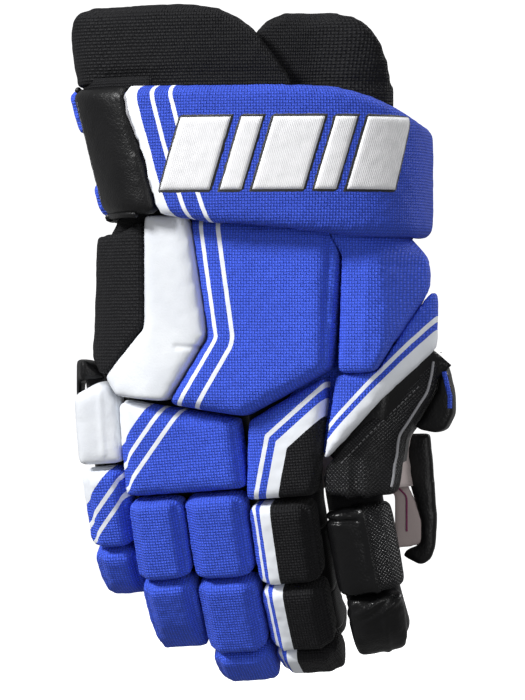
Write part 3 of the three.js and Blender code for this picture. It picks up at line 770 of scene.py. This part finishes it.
def hand_pads():
    """Padding on the back of the hand."""
    def back_line(p):
        return to_line(p[:, [0, 2]], [(-24.2, -60.0), (-14.6, -128.5), (-37.6, -167.0)])

    def diagonal_line(p):
        return 165.1 - (0.735 * (p[:, 0] + 2.6) - 0.678 * p[:, 2])
    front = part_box("back_pad")[0][1] * 1000

    def facets(p):
        """Long chamfers on the thumb side and towards the shared finger roll."""
        on = 1 - ramp(p[:, 1] - front, 1.0, 5.0)
        low = 0.46 * p[:, 0] + 0.888 * (-p[:, 2])
        return -on * (3.2 * ramp(p[:, 0], 43.0, 53.0) + 2.2 * ramp(low, 156.0, 165.0) * ramp(p[:, 0], -8, 4))
    pad("back_centre_pad", "hand", "back_pad", "blue_stripes", "blue_fabric", cap=0.6, rounds=2, band=back_line,
        relief=facets)
    pad("white_side_pad", "hand", "white_pad", "white", "white_leather", cap=0.8,
        relief=lambda p: ridge(p, (-30, -134), (-20, -134.5), 1.2, -0.9))
    pad("side_wall_pad", "hand", "side_wall", "mesh", "black_mesh", cap=0.9)
    pad("thumb_side_back_pad", "hand", "thumb_side_pad", "blue", "blue_fabric", cap=1.0,
        relief=lambda p: ridge(p, (70, -90), (67, -143), 2.2, 0.6))
    pad("thumb_diagonal_pad", "hand", "diagonal_roll", "diagonal", "blue_fabric", cap=0.9,
        band=diagonal_line)
    pad("corner_leather", "hand", "corner_patch", "black", "black_leather", voxel=1.3, rounds=2, cap=0.5)
    pad("palm_heel_pad", "hand", "heel_pad", "black", "black_leather", cap=1.0)


def thumb_pads():
    def bulges(p):
        low = 1 - ramp(p[:, 2], -200, -178)
        folds = np.exp(-((p[:, 0] - 56) / 3.2) ** 2) + 0.8 * np.exp(-((p[:, 0] - 64.5) / 2.6) ** 2)
        return 1.8 * low * folds
    pad("thumb_base_pad", "thumb_1", "thumb_panel", "emboss", "black_leather", cap=0.8, relief=bulges,
        emboss=lambda p: np.ones(len(p)))
    points, ups, across = finger_axes(THUMB, THUMB_TILT)
    for body, up, start in zip(THUMB, ups, points):
        def side(p, start=start):
            return (p - start) @ across

        def along_bone(p, start=start, up=up):
            return -(p - start) @ up
        if body == "thumb_2":
            def emboss(p, side=side):
                return ramp(side(p), 0.5, 2.0)

            def relief(p, side=side, down=along_bone):
                edge = 0.9 * np.exp(-((side(p) - 0.5) / 1.5) ** 2)
                slit = -1.6 * np.exp(-((down(p) - 7.0 - 0.12 * side(p)) / 1.3) ** 2) * ramp(-side(p), 1, 4)
                return edge + slit
        else:
            def emboss(p):
                return np.zeros(len(p))

            def relief(p, side=side, down=along_bone):
                fold = 0.5 * np.sin(down(p) * 0.9 + side(p) * 0.35) * ramp(-down(p), -16, -4)
                return fold + 0.9 * np.exp(-((side(p) - 2) / 1.8) ** 2) * ramp(down(p), 6, 12)

        def warp(p, side=side):
            return p - across * (2.2 * ramp(-side(p), 4, 12))[:, None]
        pad(f"{body}_pad", body, f"{body}_roll", "emboss", "black_leather", voxel=1.6, cap=0.8,
            basis=segment_basis(body, up), relief=relief, emboss=emboss, warp=warp)
    pad("thumb_flap_pad", "thumb_1", "thumb_heel_flap", "black", "black_leather", voxel=1.4, cap=0.5)
    pad("thumb_rim_pad", "thumb_1", "thumb_lobe_rim", "black", "black_leather", voxel=1.2, rounds=4, cap=0.5)


# --- sleeves of fingers and thumb

def sleeve_profile(half):
    """Closed cross-section of a finger sleeve, across and towards the palm, and its length round."""
    high = (SLEEVE_BOTTOM - SLEEVE_TOP) / 2
    points = []
    for i in range(SLEEVE_SIDES):
        t = 2 * math.pi * i / SLEEVE_SIDES
        c, s = math.cos(t), math.sin(t)
        x = half * math.copysign(abs(c) ** (2 / SLEEVE_POWER), c)
        y = SLEEVE_CENTRE + high * math.copysign(abs(s) ** (2 / SLEEVE_POWER), s)
        points.append((x, y))
    points = np.array(points)
    step = np.linalg.norm(np.roll(points, -1, 0) - points, axis=1)
    return points, np.concatenate([[0], np.cumsum(step)[:-1]])


def black_side(profile, half):
    """1 where a sleeve's cross-section is black, on its sides and back, and 0 on the light palm face."""
    return [max(max(0.0, min(1.0, (abs(x) - half * 0.72) / 0.8)), 1.0 if y < SLEEVE_TOP + 4 else 0.0)
            for x, y in profile]


def sleeve(name, stations, half):
    """Hollow sleeve along stations (point, across, palm, v, fold)."""
    profile, around = sleeve_profile(half)
    outer = []
    inner = []
    uv = []
    for point, across, palm, v, fold in stations:
        for (x, y), u in zip(profile, around):
            deep = max(0.0, (y - 2) / 12)
            ripple = WRINKLE * fold * deep * math.sin(v * 2.1 + math.sin(x * 0.35) * 0.8)
            size = 1.0 + ripple / 12
            p = point + across * x * size + palm * y * size
            q = point + across * x * (1 - SLEEVE_THICK / half) + palm * (y * (1 - SLEEVE_THICK / 13))
            outer.append(p * MM)
            inner.append(q * MM)
            uv.append((u, v))
    made = new_object(name, outer + inner, double_tube(len(stations), len(profile)))
    set_map(made.data, uv + uv)
    set_value(made.data, "side", black_side(profile, half) * len(stations) * 2)
    face_out(made.data)
    return made


def stations_between(a, b, up_a, up_b, joint, across):
    """Stations from point a over a joint to point b, turning evenly near the joint."""
    first = np.linalg.norm(joint - a)
    total = first + np.linalg.norm(b - joint)
    made = []
    soft_a = min(TURN_REACH, first * 0.9)
    soft_b = min(TURN_REACH, (total - first) * 0.9)
    for s in (total * i / (STATIONS - 1) for i in range(STATIONS)):
        t = min(1.0, max(0.0, (s - first + soft_a) / (soft_a + soft_b)))
        w = t * t * (3 - 2 * t)
        if 0 < t < 1:
            p0 = joint + up_a * soft_a
            p2 = joint - up_b * soft_b
            point = (1 - t) ** 2 * p0 + 2 * t * (1 - t) * joint + t * t * p2
        else:
            point = a - up_a * s if t <= 0 else joint - up_b * (s - first)
        palm = unit(np.cross(unit(up_a * (1 - w) + up_b * w), across))
        made.append((point, across, palm, s, 4 * t * (1 - t)))
    return made


def make_sleeve_chain(name, chain, points, ups, across, half, tip_length, root, root_up, parent):
    """All sleeves of one finger: over the knuckle, over each joint, and the closed tip."""
    mids = [(points[k] + points[k + 1]) / 2 for k in range(len(points) - 1)]
    starts = [root] + mids
    bodies = [parent] + chain
    for k in range(len(points)):
        last = k == len(points) - 1
        end = points[k] - ups[k] * (tip_length * TIP_START) if last else mids[k]
        up_before = root_up if k == 0 else ups[k - 1]
        stations = stations_between(starts[k], end, up_before, ups[k], points[k], across)
        made = sleeve(f"{name}_sleeve_{k + 1}", stations, half)
        stall = f"{bodies[k + 1]}_stall"
        if stall in NODES:
            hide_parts(stall)
        crossing(made, "nash")
    tip_cap(f"{name}_tip_cap", chain[-1], points[-1], ups[-1], across, half, tip_length)


def tip_cap(name, body, point, up, across, half, length):
    """Closed end of a finger: the sleeve's cross-section drawn in over the finger tip."""
    profile, around = sleeve_profile(half)
    palm = unit(np.cross(up, across))
    begin = length * TIP_START
    dome = 11.0
    rings = []
    for i in range(16):
        f = i / 15
        if f < 0.35:
            z = begin + (length - dome + 4 - begin) * f / 0.35
            k = 1.0
        else:
            a = (f - 0.35) / 0.65 * math.pi / 2
            z = length - dome + 4 + dome * math.sin(a)
            k = max(0.02, math.cos(a) ** 0.75)
        rings.append([(point - up * z + across * (x * k) + palm * (SLEEVE_CENTRE + (y - SLEEVE_CENTRE) * k)) * MM
                      for x, y in profile])
    vertices = [p for ring in rings for p in ring]
    uv = [(u, begin + r * 1.8) for r in range(len(rings)) for u in around]
    made = new_object(name, vertices, capped_tube(len(rings), len(profile)))
    face_out(made.data)
    set_map(made.data, uv)
    set_value(made.data, "side", black_side(profile, half) * len(rings))
    place(made, body, "nash")


def finger_sleeves():
    for finger, (chain, width, last_tilt, tip) in FINGERS.items():
        points, ups, across = finger_axes(chain, last_tilt)
        up = unit(np.cross(across, TO_PALM))
        reach, wider = (8, -1.6) if finger == "little" else (16, 0.3)
        make_sleeve_chain(finger, chain, points, ups, across, width / 2 + wider, tip, points[0] + up * reach, up,
                          "hand")


def thumb_sleeves():
    points, ups, across = finger_axes(THUMB, THUMB_TILT)
    root_up = unit(ups[0] * 0.985 + np.array([0.06, -0.1, 0.0]))
    points = [p - across * 0.3 for p in points]
    root = points[0] + root_up * 14
    make_sleeve_chain("thumb", THUMB, points, ups, across, 14.5, 30.0, root, root_up, "thumb_1")


# --- soft shells from CAD shapes

def soft_shell(name, body, node, material, voxel=1.5, rounds=4, side=None, warp=None):
    """A CAD shape made soft at its edges, for leather and lining that isn't stuffed."""
    made = voxel_copy(name, node, voxel, warp)
    relax(made.data, rounds, 0.2 * MM)
    applied(made, "SUBSURF", levels=1)
    box_map(made.data)
    if side is not None:
        set_value(made.data, "side", side(coordinates(made.data) * 1000))
    place(made, body, material, node)


def hand_shells():
    def none(p):
        return np.zeros(len(p))
    soft_shell("hand_lining", "hand", "hand_shell", "lining", voxel=1.7)
    soft_shell("palm_leather", "hand", "palm", "nash", voxel=1.5, side=none)
    soft_shell("palm_patch_leather", "hand", "palm_patch", "nash", voxel=1.1, rounds=2, side=none)
    soft_shell("thumb_base_leather", "thumb_1", "thumb_base_stall", "nash", voxel=1.5,
               side=lambda p: np.clip((24.5 - p[:, 1]) / 2, 0, 1))
    edge, far = (v[0] * 1000 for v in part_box("thumb_lobe_lining"))

    def wider(p):
        p[:, 0] += 6.5 * (ramp(p[:, 0], edge, edge + 9) - 1) + 2.8 * ramp(p[:, 0], far - 8, far)
        return p
    soft_shell("thumb_lobe_leather", "thumb_1", "thumb_lobe_lining", "nash", voxel=1.2, side=none,
               warp=wider)


# --- cuff

def plan(angle, offset):
    c, s = math.cos(math.radians(angle)), math.sin(math.radians(angle))
    x = (CUFF_HALF[0] - offset) * math.copysign(abs(c) ** (2 / CUFF_POWER), c)
    y = (CUFF_HALF[1] - offset) * math.copysign(abs(s) ** (2 / CUFF_POWER), s)
    return x, y


def arc_table():
    angles = np.linspace(-200, 200, 1601)
    points = np.array([plan(a, 0) for a in angles])
    step = np.linalg.norm(np.diff(points, axis=0), axis=1)
    length = np.concatenate([[0], np.cumsum(step)])
    return angles, length - np.interp(-90, angles, length)


ARC_ANGLES, ARC_LENGTHS = arc_table()


def angle_at(u):
    """Angle of the cuff's plan at a length along it from the middle of the back."""
    return float(np.interp(u, ARC_LENGTHS, ARC_ANGLES))


def around_cuff(p):
    """Length along the cuff's plan of points in millimetres, from the middle of the back."""
    x = np.sign(p[:, 0]) * (np.abs(p[:, 0]) / CUFF_HALF[0]) ** (CUFF_POWER / 2)
    y = np.sign(p[:, 1]) * (np.abs(p[:, 1]) / CUFF_HALF[1]) ** (CUFF_POWER / 2)
    angle = np.degrees(np.arctan2(y, x))
    angle = np.where(angle > 100, angle - 360, angle)
    return np.interp(angle, np.concatenate([ARC_ANGLES[:1] - 60, ARC_ANGLES]),
                     np.concatenate([ARC_LENGTHS[:1] - 95, ARC_LENGTHS]))


def cuff_map(mesh):
    p = coordinates(mesh) * 1000
    set_map(mesh, np.stack([around_cuff(p), p[:, 2]], 1))


def cuff_point(angle, z, offset):
    """Point of the cuff in millimetres, drawn in on the little-finger side as the frame's cuff is."""
    x, y = plan(angle, offset)
    side = ramp(-x - 2.6, 40, 90)
    return np.array([x + CUFF_TAPER * max(-z, 0.0) * side, y, z])


def band_end(z):
    """Length along the cuff at which the band starts, at height z."""
    return np.interp(BAND_START + BAND_SLANT * np.maximum(-z, 0) / 70, ARC_ANGLES, ARC_LENGTHS)


def cuff_pads():
    def band_line(p):
        return around_cuff(p) - band_end(p[:, 2])

    def seam(height):
        def relief(p):
            return -0.35 * np.exp(-((p[:, 2] - height) / 2.2) ** 2)
        return relief
    for name, node, material, slot, cap, band, relief in (
            ("cuff_band_pad", "cuff_band", "band", "blue_fabric", 1.5, band_line, None),
            ("cuff_side_pad", "cuff_side_panel", "black", "black_leather", 0.9, None, None),
            ("cuff_palm_pad", "cuff_palm_panel", "blue", "blue_fabric", 0.9, None, None),
            ("flare_back_pad", "flare_back", "mesh", "black_mesh", 1.3, None, seam(6.5)),
            ("flare_thumb_pad", "flare_thumb", "mesh", "black_mesh", 1.3, None, seam(1.5))):
        pad(name, "cuff", node, material, slot, voxel=2.2, cap=cap, band=band, relief=relief, cuff=True)
    soft_shell("cuff_strap_web", "cuff", "cuff_strap", "web", voxel=1.0, rounds=2)
    soft_shell("cuff_lining", "cuff", "cuff_liner", "lining", voxel=1.6)


def cuff_binding():
    """Edge bindings of the cuff's panels and flares."""
    for name, angles, height, offset, radius in (
            ("binding_side_low", np.linspace(-118, -162, 20), lambda a: -66.0, 5.0, 1.8),
            ("binding_palm_low", np.linspace(34, 196, 48), lambda a: -66.6 - 10 * (1 - ramp(a, 27, 80)), 4.0, 2.4),
            ("binding_palm_top", np.linspace(42, 196, 46), lambda a: -20 + 20 * ramp(a, 111, 187), 4.6, 1.7)):
        points = [cuff_point(a, height(a), offset) for a in angles]
        cord_piece(name, "cuff", points, radius, "black", "black_leather")
    grid = [[cuff_point(a, z, 7.0) for a in np.linspace(-164, -112, 24)] for z in np.linspace(-8, 5, 5)]
    made = slab("side_top_gusset", grid, 1.4)
    place(made, "cuff", "mesh_fine")
    tree = surface("cuff_band_pad")
    points = []
    for z in np.linspace(-2.5, -64, 22):
        angle = BAND_START + BAND_SLANT * -z / 70
        points.append(on_surface(tree, cuff_point(angle + 0.6, z, -15), cuff_point(angle + 0.6, z, 10), 0.1))
    cord_piece("piping_band_end", "cuff", [q for q in points if q is not None], 0.9, "grey", "black_leather")


def first_hit(tree, start, way, lift):
    """Where a ray from start, in metres, meets a surface, lifted off it, in millimetres; None if it misses."""
    hit, normal, _, _ = tree.ray_cast(start, way)
    if hit is None:
        return None
    if normal.dot(way) > 0:
        normal = -normal
    return np.array(hit / MM + normal * lift)


def on_surface(tree, start, towards, lift=0.0):
    """Where the line from start towards another point meets a surface; millimetres."""
    a = Vector(start) * MM
    return first_hit(tree, a, (Vector(towards) * MM - a).normalized(), lift)


def wrist_sleeve():
    """Soft sleeve that joins the cuff's lining to the hand and flares out to the hand's sides."""
    rings = 22
    n = 96
    vertices = []
    uv = []
    for layer in (0.0, 1.8):
        for r in range(rings):
            f = r / (rings - 1)
            z = -56.0 - 38.0 * f
            w = ramp(f, 0.0, 0.85)
            fold = 0.9 * math.sin(f * math.pi) * math.sin(f * 15)
            for i in range(n):
                angle = 360 * i / n
                top = cuff_point(angle, -56, 16.0 + layer)
                c, t = math.cos(math.radians(angle)), math.sin(math.radians(angle))
                half_x = (88.5 if c > 0 else 80.5) - 4.0 - layer + fold
                half_y = (27.0 if t > 0 else 22.5) - 5.0 - layer + fold
                x = half_x * math.copysign(abs(c) ** 0.5, c)
                y = 1.0 + half_y * math.copysign(abs(t) ** 0.6, t)
                if x > 40 and t < 0:
                    y -= 9.0 * ramp(x, 40, 62) * (1 - ramp(x, 66, 84))
                low = np.array([x, y, z])
                p = top * (1 - w) + low * w
                p[2] = z
                vertices.append(p * MM)
                uv.append((i * 4.6, z))
    made = new_object("wrist_sleeve", vertices, double_tube(rings, n))
    face_out(made.data)
    set_map(made.data, uv)
    crossing(made, "mesh_fine")


def slab(name, grid, thick):
    """Closed sheet over a grid of points in millimetres; thick is its thickness towards the palm."""
    grid = np.array(grid, float)
    rows, columns, _ = grid.shape
    front = grid.reshape(-1, 3)
    back = front + np.array([0.0, thick, 0.0])
    made = new_object(name, np.concatenate([front, back]) * MM, sheet_faces(rows, columns))
    face_out(made.data)
    box_map(made.data)
    return made


# The line in X and Z on which the thumb's base meets the hand: a distance along NORMAL, a place along ALONG.
NORMAL = np.array([0.735, -0.678])
ALONG = np.array([0.678, 0.735])


def joint_line(place_along, distance):
    x, z = NORMAL * distance + ALONG * place_along
    return x - 2.6, z


def back_depth(x):
    """Y of the sheet below the thumb-side padding."""
    return float(np.interp(x, [30, 46, 58, 74, 86, 99], [-14, -13.5, -13.8, -12.5, -1.0, 10.5]))


def thumb_side_gusset():
    """Blue cloth from the inside of the band down to the thumb-side pad."""
    outline = np.array([(56.5, -31.5), (75.0, -31.5), (94.8, -7.5), (93.8, 3.0)])
    length = np.concatenate([[0], np.cumsum(np.linalg.norm(np.diff(outline, axis=0), axis=1))])
    grid = []
    for f in np.linspace(0, 1, 12):
        z = -71.0 - 26.0 * f
        w = ramp(f, 0.0, 0.8)
        row = []
        for g in np.linspace(0, 1, 36):
            top = cuff_point(-58 + 76 * g, z, 14.5)
            low = np.array([*(np.interp(g * length[-1], length, outline[:, k]) for k in (0, 1)), z])
            p = top * (1 - w) + low * w
            out = np.array([0.8, -0.6, 0.0]) if g > 0.3 else np.array([0.2, -1.0, 0.0])
            row.append(p + out * 1.6 * math.sin(f * math.pi))
        grid.append(row)
    made = slab("thumb_side_gusset", grid, 1.5)
    crossing(made, "blue")


def web():
    """Leather web between the thumb and the index finger."""
    grid = []
    for f in np.linspace(0, 1, 16):
        z = -158.0 - 52.0 * f
        row = []
        for g in np.linspace(0, 1, 12):
            x = 33.2 + 1.2 * f + (17.8 + 0.3 * f) * g
            y = 14.0 + 5.0 * g - 4.0 * math.sin(g * math.pi) * f
            row.append((x, y, z + 6.0 * math.sin(g * math.pi) * f))
        grid.append(row)
    made = slab("thumb_web", grid, 1.6)
    set_value(made.data, "side", np.zeros(len(made.data.vertices)))
    crossing(made, "nash")


def thumb_gussets():
    """Cloth below the diagonal roll, and the leather that bridges the thumb's joint."""
    grid = []
    for distance in np.linspace(128, 164, 14):
        row = []
        for along_line in np.linspace(-108, -32, 30):
            x, z = joint_line(along_line, distance)
            x = min(x, 94.0)
            row.append((x, back_depth(x), z))
        grid.append(row)
    made = slab("thumb_backing", grid, 1.6)
    place(made, "hand", "blue")
    grid = []
    for distance in np.linspace(158, 176, 14):
        row = []
        for along_line in np.linspace(-107, -33, 30):
            x, z = joint_line(along_line, distance)
            row.append((x, back_depth(x) + 1.2 - 2.0 * math.sin((distance - 158) / 18 * math.pi), z))
        grid.append(row)
    made = slab("thumb_gusset", grid, 1.6)
    crossing(made, "black")


def emblem_block(name, tree, u0, width, lift, grow, material):
    """A slanted raised block on the cuff band, lying on its surface."""
    across = max(6, int(width / 1.6))
    up = 22
    outer = []
    inner = []
    uv = []
    for j in range(up + 1):
        v = EMBLEM_LOW - grow + (EMBLEM_HIGH - EMBLEM_LOW + 2 * grow) * j / up
        for i in range(across + 1):
            u = u0 - grow + (width + 2 * grow) * i / across + EMBLEM_SLANT * (v - EMBLEM_LOW)
            angle = angle_at(u)
            edge = min(i, across - i, j, up - j)
            height = lift if edge > 0 else lift - 0.5
            above, below = cuff_point(angle, v, -15), cuff_point(angle, v, 10)
            hit = on_surface(tree, above, below)
            if hit is None:
                hit = cuff_point(angle, v, 0)
            away = unit(above - below)
            outer.append((hit + away * height) * MM)
            inner.append((hit - away * 1.2) * MM)
            uv.append((u, v))
    made = new_object(name, outer + inner, sheet_faces(up + 1, across + 1))
    face_out(made.data)
    set_map(made.data, uv + uv)
    place(made, "cuff", material)


def emblem():
    """Row of plain slanted blocks in satin stitch with a dark border."""
    tree = surface("cuff_band_pad")
    u = float(band_end(np.array([-55.0]))[0]) + 8
    for number, width in enumerate((26, 11, 26, 11, 26)):
        emblem_block(f"emblem_border_{number}", tree, u, width, 0.35, 1.9, "thread_black")
        emblem_block(f"emblem_block_{number}", tree, u, width, 0.95, 0.0, "thread_white")
        u += width + 5.5


# --- piping and stitches

def edge_points(tree, heights, xs, inset, lift=0.0):
    """Points near the edge where a surface is first met along xs, one for each height."""
    made = []
    for z in heights:
        for x in xs:
            if drop_on(tree, [(x, 0.0, z)]):
                made.extend(drop_on(tree, [(x + inset, 0.0, z)], lift=lift))
                break
    return made


def thumb_lobe_gusset():
    """Leather between the thumb's base panel and the rolled rim, black above and light below."""
    base = surface("thumb_base_pad")
    rim = surface("thumb_rim_pad")
    for name, high, low, material, slot in (("lobe_gusset_dark", -166, -184, "black", "black_leather"),
                                            ("lobe_gusset_light", -184, -207, "nash", "nash_palm")):
        grid = []
        for z in np.linspace(high, low, 10):
            a = edge_points(base, [z], np.arange(104, 60, -0.5), -3.0)
            b = edge_points(rim, [z], np.arange(60, 112, 0.5), 2.0)
            if a and b:
                start, end = a[0] + np.array([0, 4.0, 0]), b[0] + np.array([0, 2.0, 0])
                grid.append([start * (1 - g) + end * g for g in np.linspace(0, 1, 9)])
        if len(grid) > 2:
            made = slab(name, grid, 1.5)
            set_value(made.data, "side", np.zeros(len(made.data.vertices)))
            place(made, "thumb_1", material)


def sewing():
    """Piping, seams and rows of stitches on the finished pads and leathers."""
    base = surface("thumb_base_pad")
    line = [joint_line(a, 172.5) for a in np.linspace(-104, -50, 40)]
    stitches("stitch_thumb_top", "thumb_1", base, [(x, 0.0, z) for x, z in line], "black_leather",
             pitch=2.6, length=1.8, radius=0.3)
    for name, source, heights, xs, inset, lift, every, radius, material, slot in (
            ("piping_thumb_base", "thumb_base_pad", (-142, -209, 26), (104, 60, -0.5), -2.2, 0.3, 2, 0.75,
             "grey", "black_leather"),
            ("seam_lobe", "thumb_lobe_leather", (-196, -231, 16), (60, 108, 0.5), 6.2, 0.1, 1, 0.55,
             "magenta", "nash_palm"),
            ("piping_flap", "thumb_flap_pad", (-147, -166, 10), (112, 80, -0.5), -1.4, 0.2, 1, 1.3,
             "blue", "blue_fabric")):
        rim = edge_points(surface(source), np.linspace(*heights), np.arange(*xs), inset, lift)
        cord_piece(name, "thumb_1", rim[::every], radius, material, slot)
    palm = surface("palm_leather")
    for name, node, inset in (("stitch_patch", "palm_patch", -2.4), ("stitch_heel", "heel_pad", -3.0)):
        low, high = (np.array(v) * 1000 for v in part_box(node))
        x0, x1, z0, z1 = low[0] + inset, high[0] - inset, low[2] + inset, high[2] - inset
        ring = [(x0, 0, z0), (x1, 0, z0), (x1, 0, z1), (x0, 0, z1), (x0, 0, z0)]
        for number, (a, b) in enumerate(zip(ring, ring[1:])):
            stitches(f"{name}_{number}", "hand", palm, [a, b], "nash_palm", direction=(0, -1, 0))
    patch = surface("palm_patch_leather")
    low, high = (np.array(v) * 1000 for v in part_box("palm_patch"))
    for number, z in enumerate((low[2] + 3.5, high[2] - 3.5)):
        stitches(f"stitch_patch_row_{number}", "hand", patch, [(low[0] + 4, 0, z), (high[0] - 4, 0, z)],
                 "nash_palm", direction=(0, -1, 0))
    side = surface("cuff_side_pad")
    hits = [on_surface(side, cuff_point(-155, z, -25), cuff_point(-155, z, 10)) for z in np.linspace(-8, -58, 24)]
    stitches("stitch_side_0", "cuff", side, [hit for hit in hits if hit is not None], "black_leather",
             direction=(0.8, 0.6, 0))


def tube(points, radius, sides=8, smooth_path=True):
    """Closed round cord through points in millimetres."""
    points = np.array(points, float)
    if smooth_path and len(points) > 2:
        fine = []
        for i in range(len(points) - 1):
            p0 = points[max(i - 1, 0)]
            p1, p2 = points[i], points[i + 1]
            p3 = points[min(i + 2, len(points) - 1)]
            for k in range(6):
                t = k / 6
                fine.append(0.5 * (2 * p1 + (p2 - p0) * t + (2 * p0 - 5 * p1 + 4 * p2 - p3) * t * t
                                   + (3 * p1 - 3 * p2 + p3 - p0) * t ** 3))
        fine.append(points[-1])
        points = np.array(fine)
    tangent = np.gradient(points, axis=0)
    tangent /= np.linalg.norm(tangent, axis=1)[:, None]
    reference = np.array([0.0, -1.0, 0.001])
    vertices = []
    for p, t in zip(points, tangent):
        a = unit(np.cross(t, reference))
        b = np.cross(t, a)
        for i in range(sides):
            w = 2 * math.pi * i / sides
            vertices.append((p + (a * math.cos(w) + b * math.sin(w)) * radius) * MM)
    return vertices, capped_tube(len(points), sides)


def closed_piece(name, vertices, faces, body, material, slot):
    made = new_object(name, vertices, faces)
    face_out(made.data)
    box_map(made.data)
    place(made, body, material)


def cord_piece(name, body, points, radius, material, slot):
    closed_piece(name, *tube(points, radius), body, material, slot)


def surface(name):
    obj = bpy.data.objects[name]
    graph = bpy.context.evaluated_depsgraph_get()
    return BVHTree.FromObject(obj, graph)


def drop_on(tree, points, direction=(0, 1, 0), lift=0.0):
    """Points in millimetres moved onto a surface along a direction; points that miss it are left out."""
    d = Vector(direction).normalized()
    hits = (first_hit(tree, Vector(p) * MM - d * 0.2, d, lift) for p in points)
    return [hit for hit in hits if hit is not None]


def along(points, step):
    """Evenly spaced points along a polyline."""
    points = np.array(points, float)
    length = np.linalg.norm(np.diff(points, axis=0), axis=1)
    total = np.concatenate([[0], np.cumsum(length)])
    s = np.arange(0, total[-1], step)
    return np.stack([np.interp(s, total, points[:, k]) for k in range(3)], 1)


def stitches(name, body, tree, line, slot, direction=(0, 1, 0), pitch=2.8, length=2.0, radius=0.26):
    """A row of single stitches sunk a little into a surface."""
    vertices = []
    faces = []
    for p in along(line, pitch):
        ends = drop_on(tree, [p, p + (np.array(line[-1]) - np.array(line[0])) * 0.004], direction)
        if len(ends) < 2 or np.linalg.norm(ends[1] - ends[0]) < 1e-6:
            continue
        d = unit(ends[1] - ends[0])
        path = [ends[0] + d * length * t for t in (-0.5, -0.25, 0, 0.25, 0.5)]
        v, f = tube(path, radius, sides=6, smooth_path=False)
        first = len(vertices)
        vertices.extend(v)
        faces.extend([tuple(i + first for i in q) for q in f])
    if vertices:
        closed_piece(name, vertices, faces, body, "thread", slot)


# --- studio

AZIMUTH = 13.0
VIEW_HEIGHT = 0.3654
VIEW_CENTRE = (6.5, -135.7)
DISTANCE = 2.2
FLOOR = -0.372
LIGHTS = (  # name, place, size, power
    ("key", (-1.35, -1.35, 1.15), 0.5, 62), ("fill", (1.3, -2.0, 0.1), 1.2, 13),
    ("rim", (1.3, 1.2, 0.8), 0.8, 15), ("top", (0.0, -0.3, 1.9), 0.9, 12))


def studio():
    floor_mesh = bpy.data.meshes.new("studio_floor")
    bm = bmesh.new()
    rings = [(1.5, FLOOR), (4.0, FLOOR)]
    rings += [(4.0 + 1.5 * math.sin(a), FLOOR + 1.5 * (1 - math.cos(a))) for a in np.linspace(0.15, math.pi / 2, 10)]
    rings += [(5.5, 7.0)]
    turns = np.linspace(0, 2 * math.pi, 64, endpoint=False)
    rows = [[bm.verts.new((r * math.cos(t), r * math.sin(t), z)) for t in turns] for r, z in rings]
    bm.faces.new(rows[0])
    for a, b in zip(rows, rows[1:]):
        for i in range(64):
            j = (i + 1) % 64
            bm.faces.new((a[i], b[i], b[j], a[j]))
    bm.to_mesh(floor_mesh)
    bm.free()
    floor_mesh.shade_smooth()
    floor = linked("studio_floor", floor_mesh)
    floor_mesh.materials.append(studio_paper("studio_paper", (0.9, 0.9, 0.91), 0.8))
    floor.visible_diffuse = False
    floor.visible_glossy = False
    floor.visible_shadow = False

    a = math.radians(AZIMUTH)
    right = Vector((math.cos(a), math.sin(a), 0))
    centre = right * (VIEW_CENTRE[0] * MM) + Vector((0, 0, VIEW_CENTRE[1] * MM))
    data = bpy.data.cameras.new("camera")
    camera = linked("camera", data)
    data.sensor_fit = "VERTICAL"
    data.sensor_height = 24
    data.lens = 24 * DISTANCE / VIEW_HEIGHT
    camera.location = centre + Vector((math.sin(a), -math.cos(a), 0)) * DISTANCE
    camera.rotation_euler = (math.pi / 2, 0, a)
    data.clip_end = 50
    bpy.context.scene.camera = camera

    world = bpy.data.worlds.new("studio_world")
    world.use_nodes = True
    world.node_tree.nodes["Background"].inputs[0].default_value = (1, 1, 1, 1)
    world.node_tree.nodes["Background"].inputs[1].default_value = 0.27
    bpy.context.scene.world = world
    for name, place_at, size, power in LIGHTS:
        light = bpy.data.lights.new(name, "AREA")
        light.size = size
        light.energy = power
        made = linked(name, light)
        made.location = place_at
        aim = Vector((0, 0, -0.13)) - Vector(place_at)
        made.rotation_euler = aim.to_track_quat("-Z", "Y").to_euler()
    bpy.context.scene.view_settings.view_transform = "Standard"


# --- build

MATERIALS = make_materials()
studio()
hand_pads()
finger_pads()
thumb_pads()
cuff_pads()
inflate_pads()
finish_pads()
finger_sleeves()
thumb_sleeves()
hand_shells()
wrist_sleeve()
thumb_side_gusset()
thumb_gussets()
web()
cuff_binding()
emblem()
thumb_lobe_gusset()
sewing()
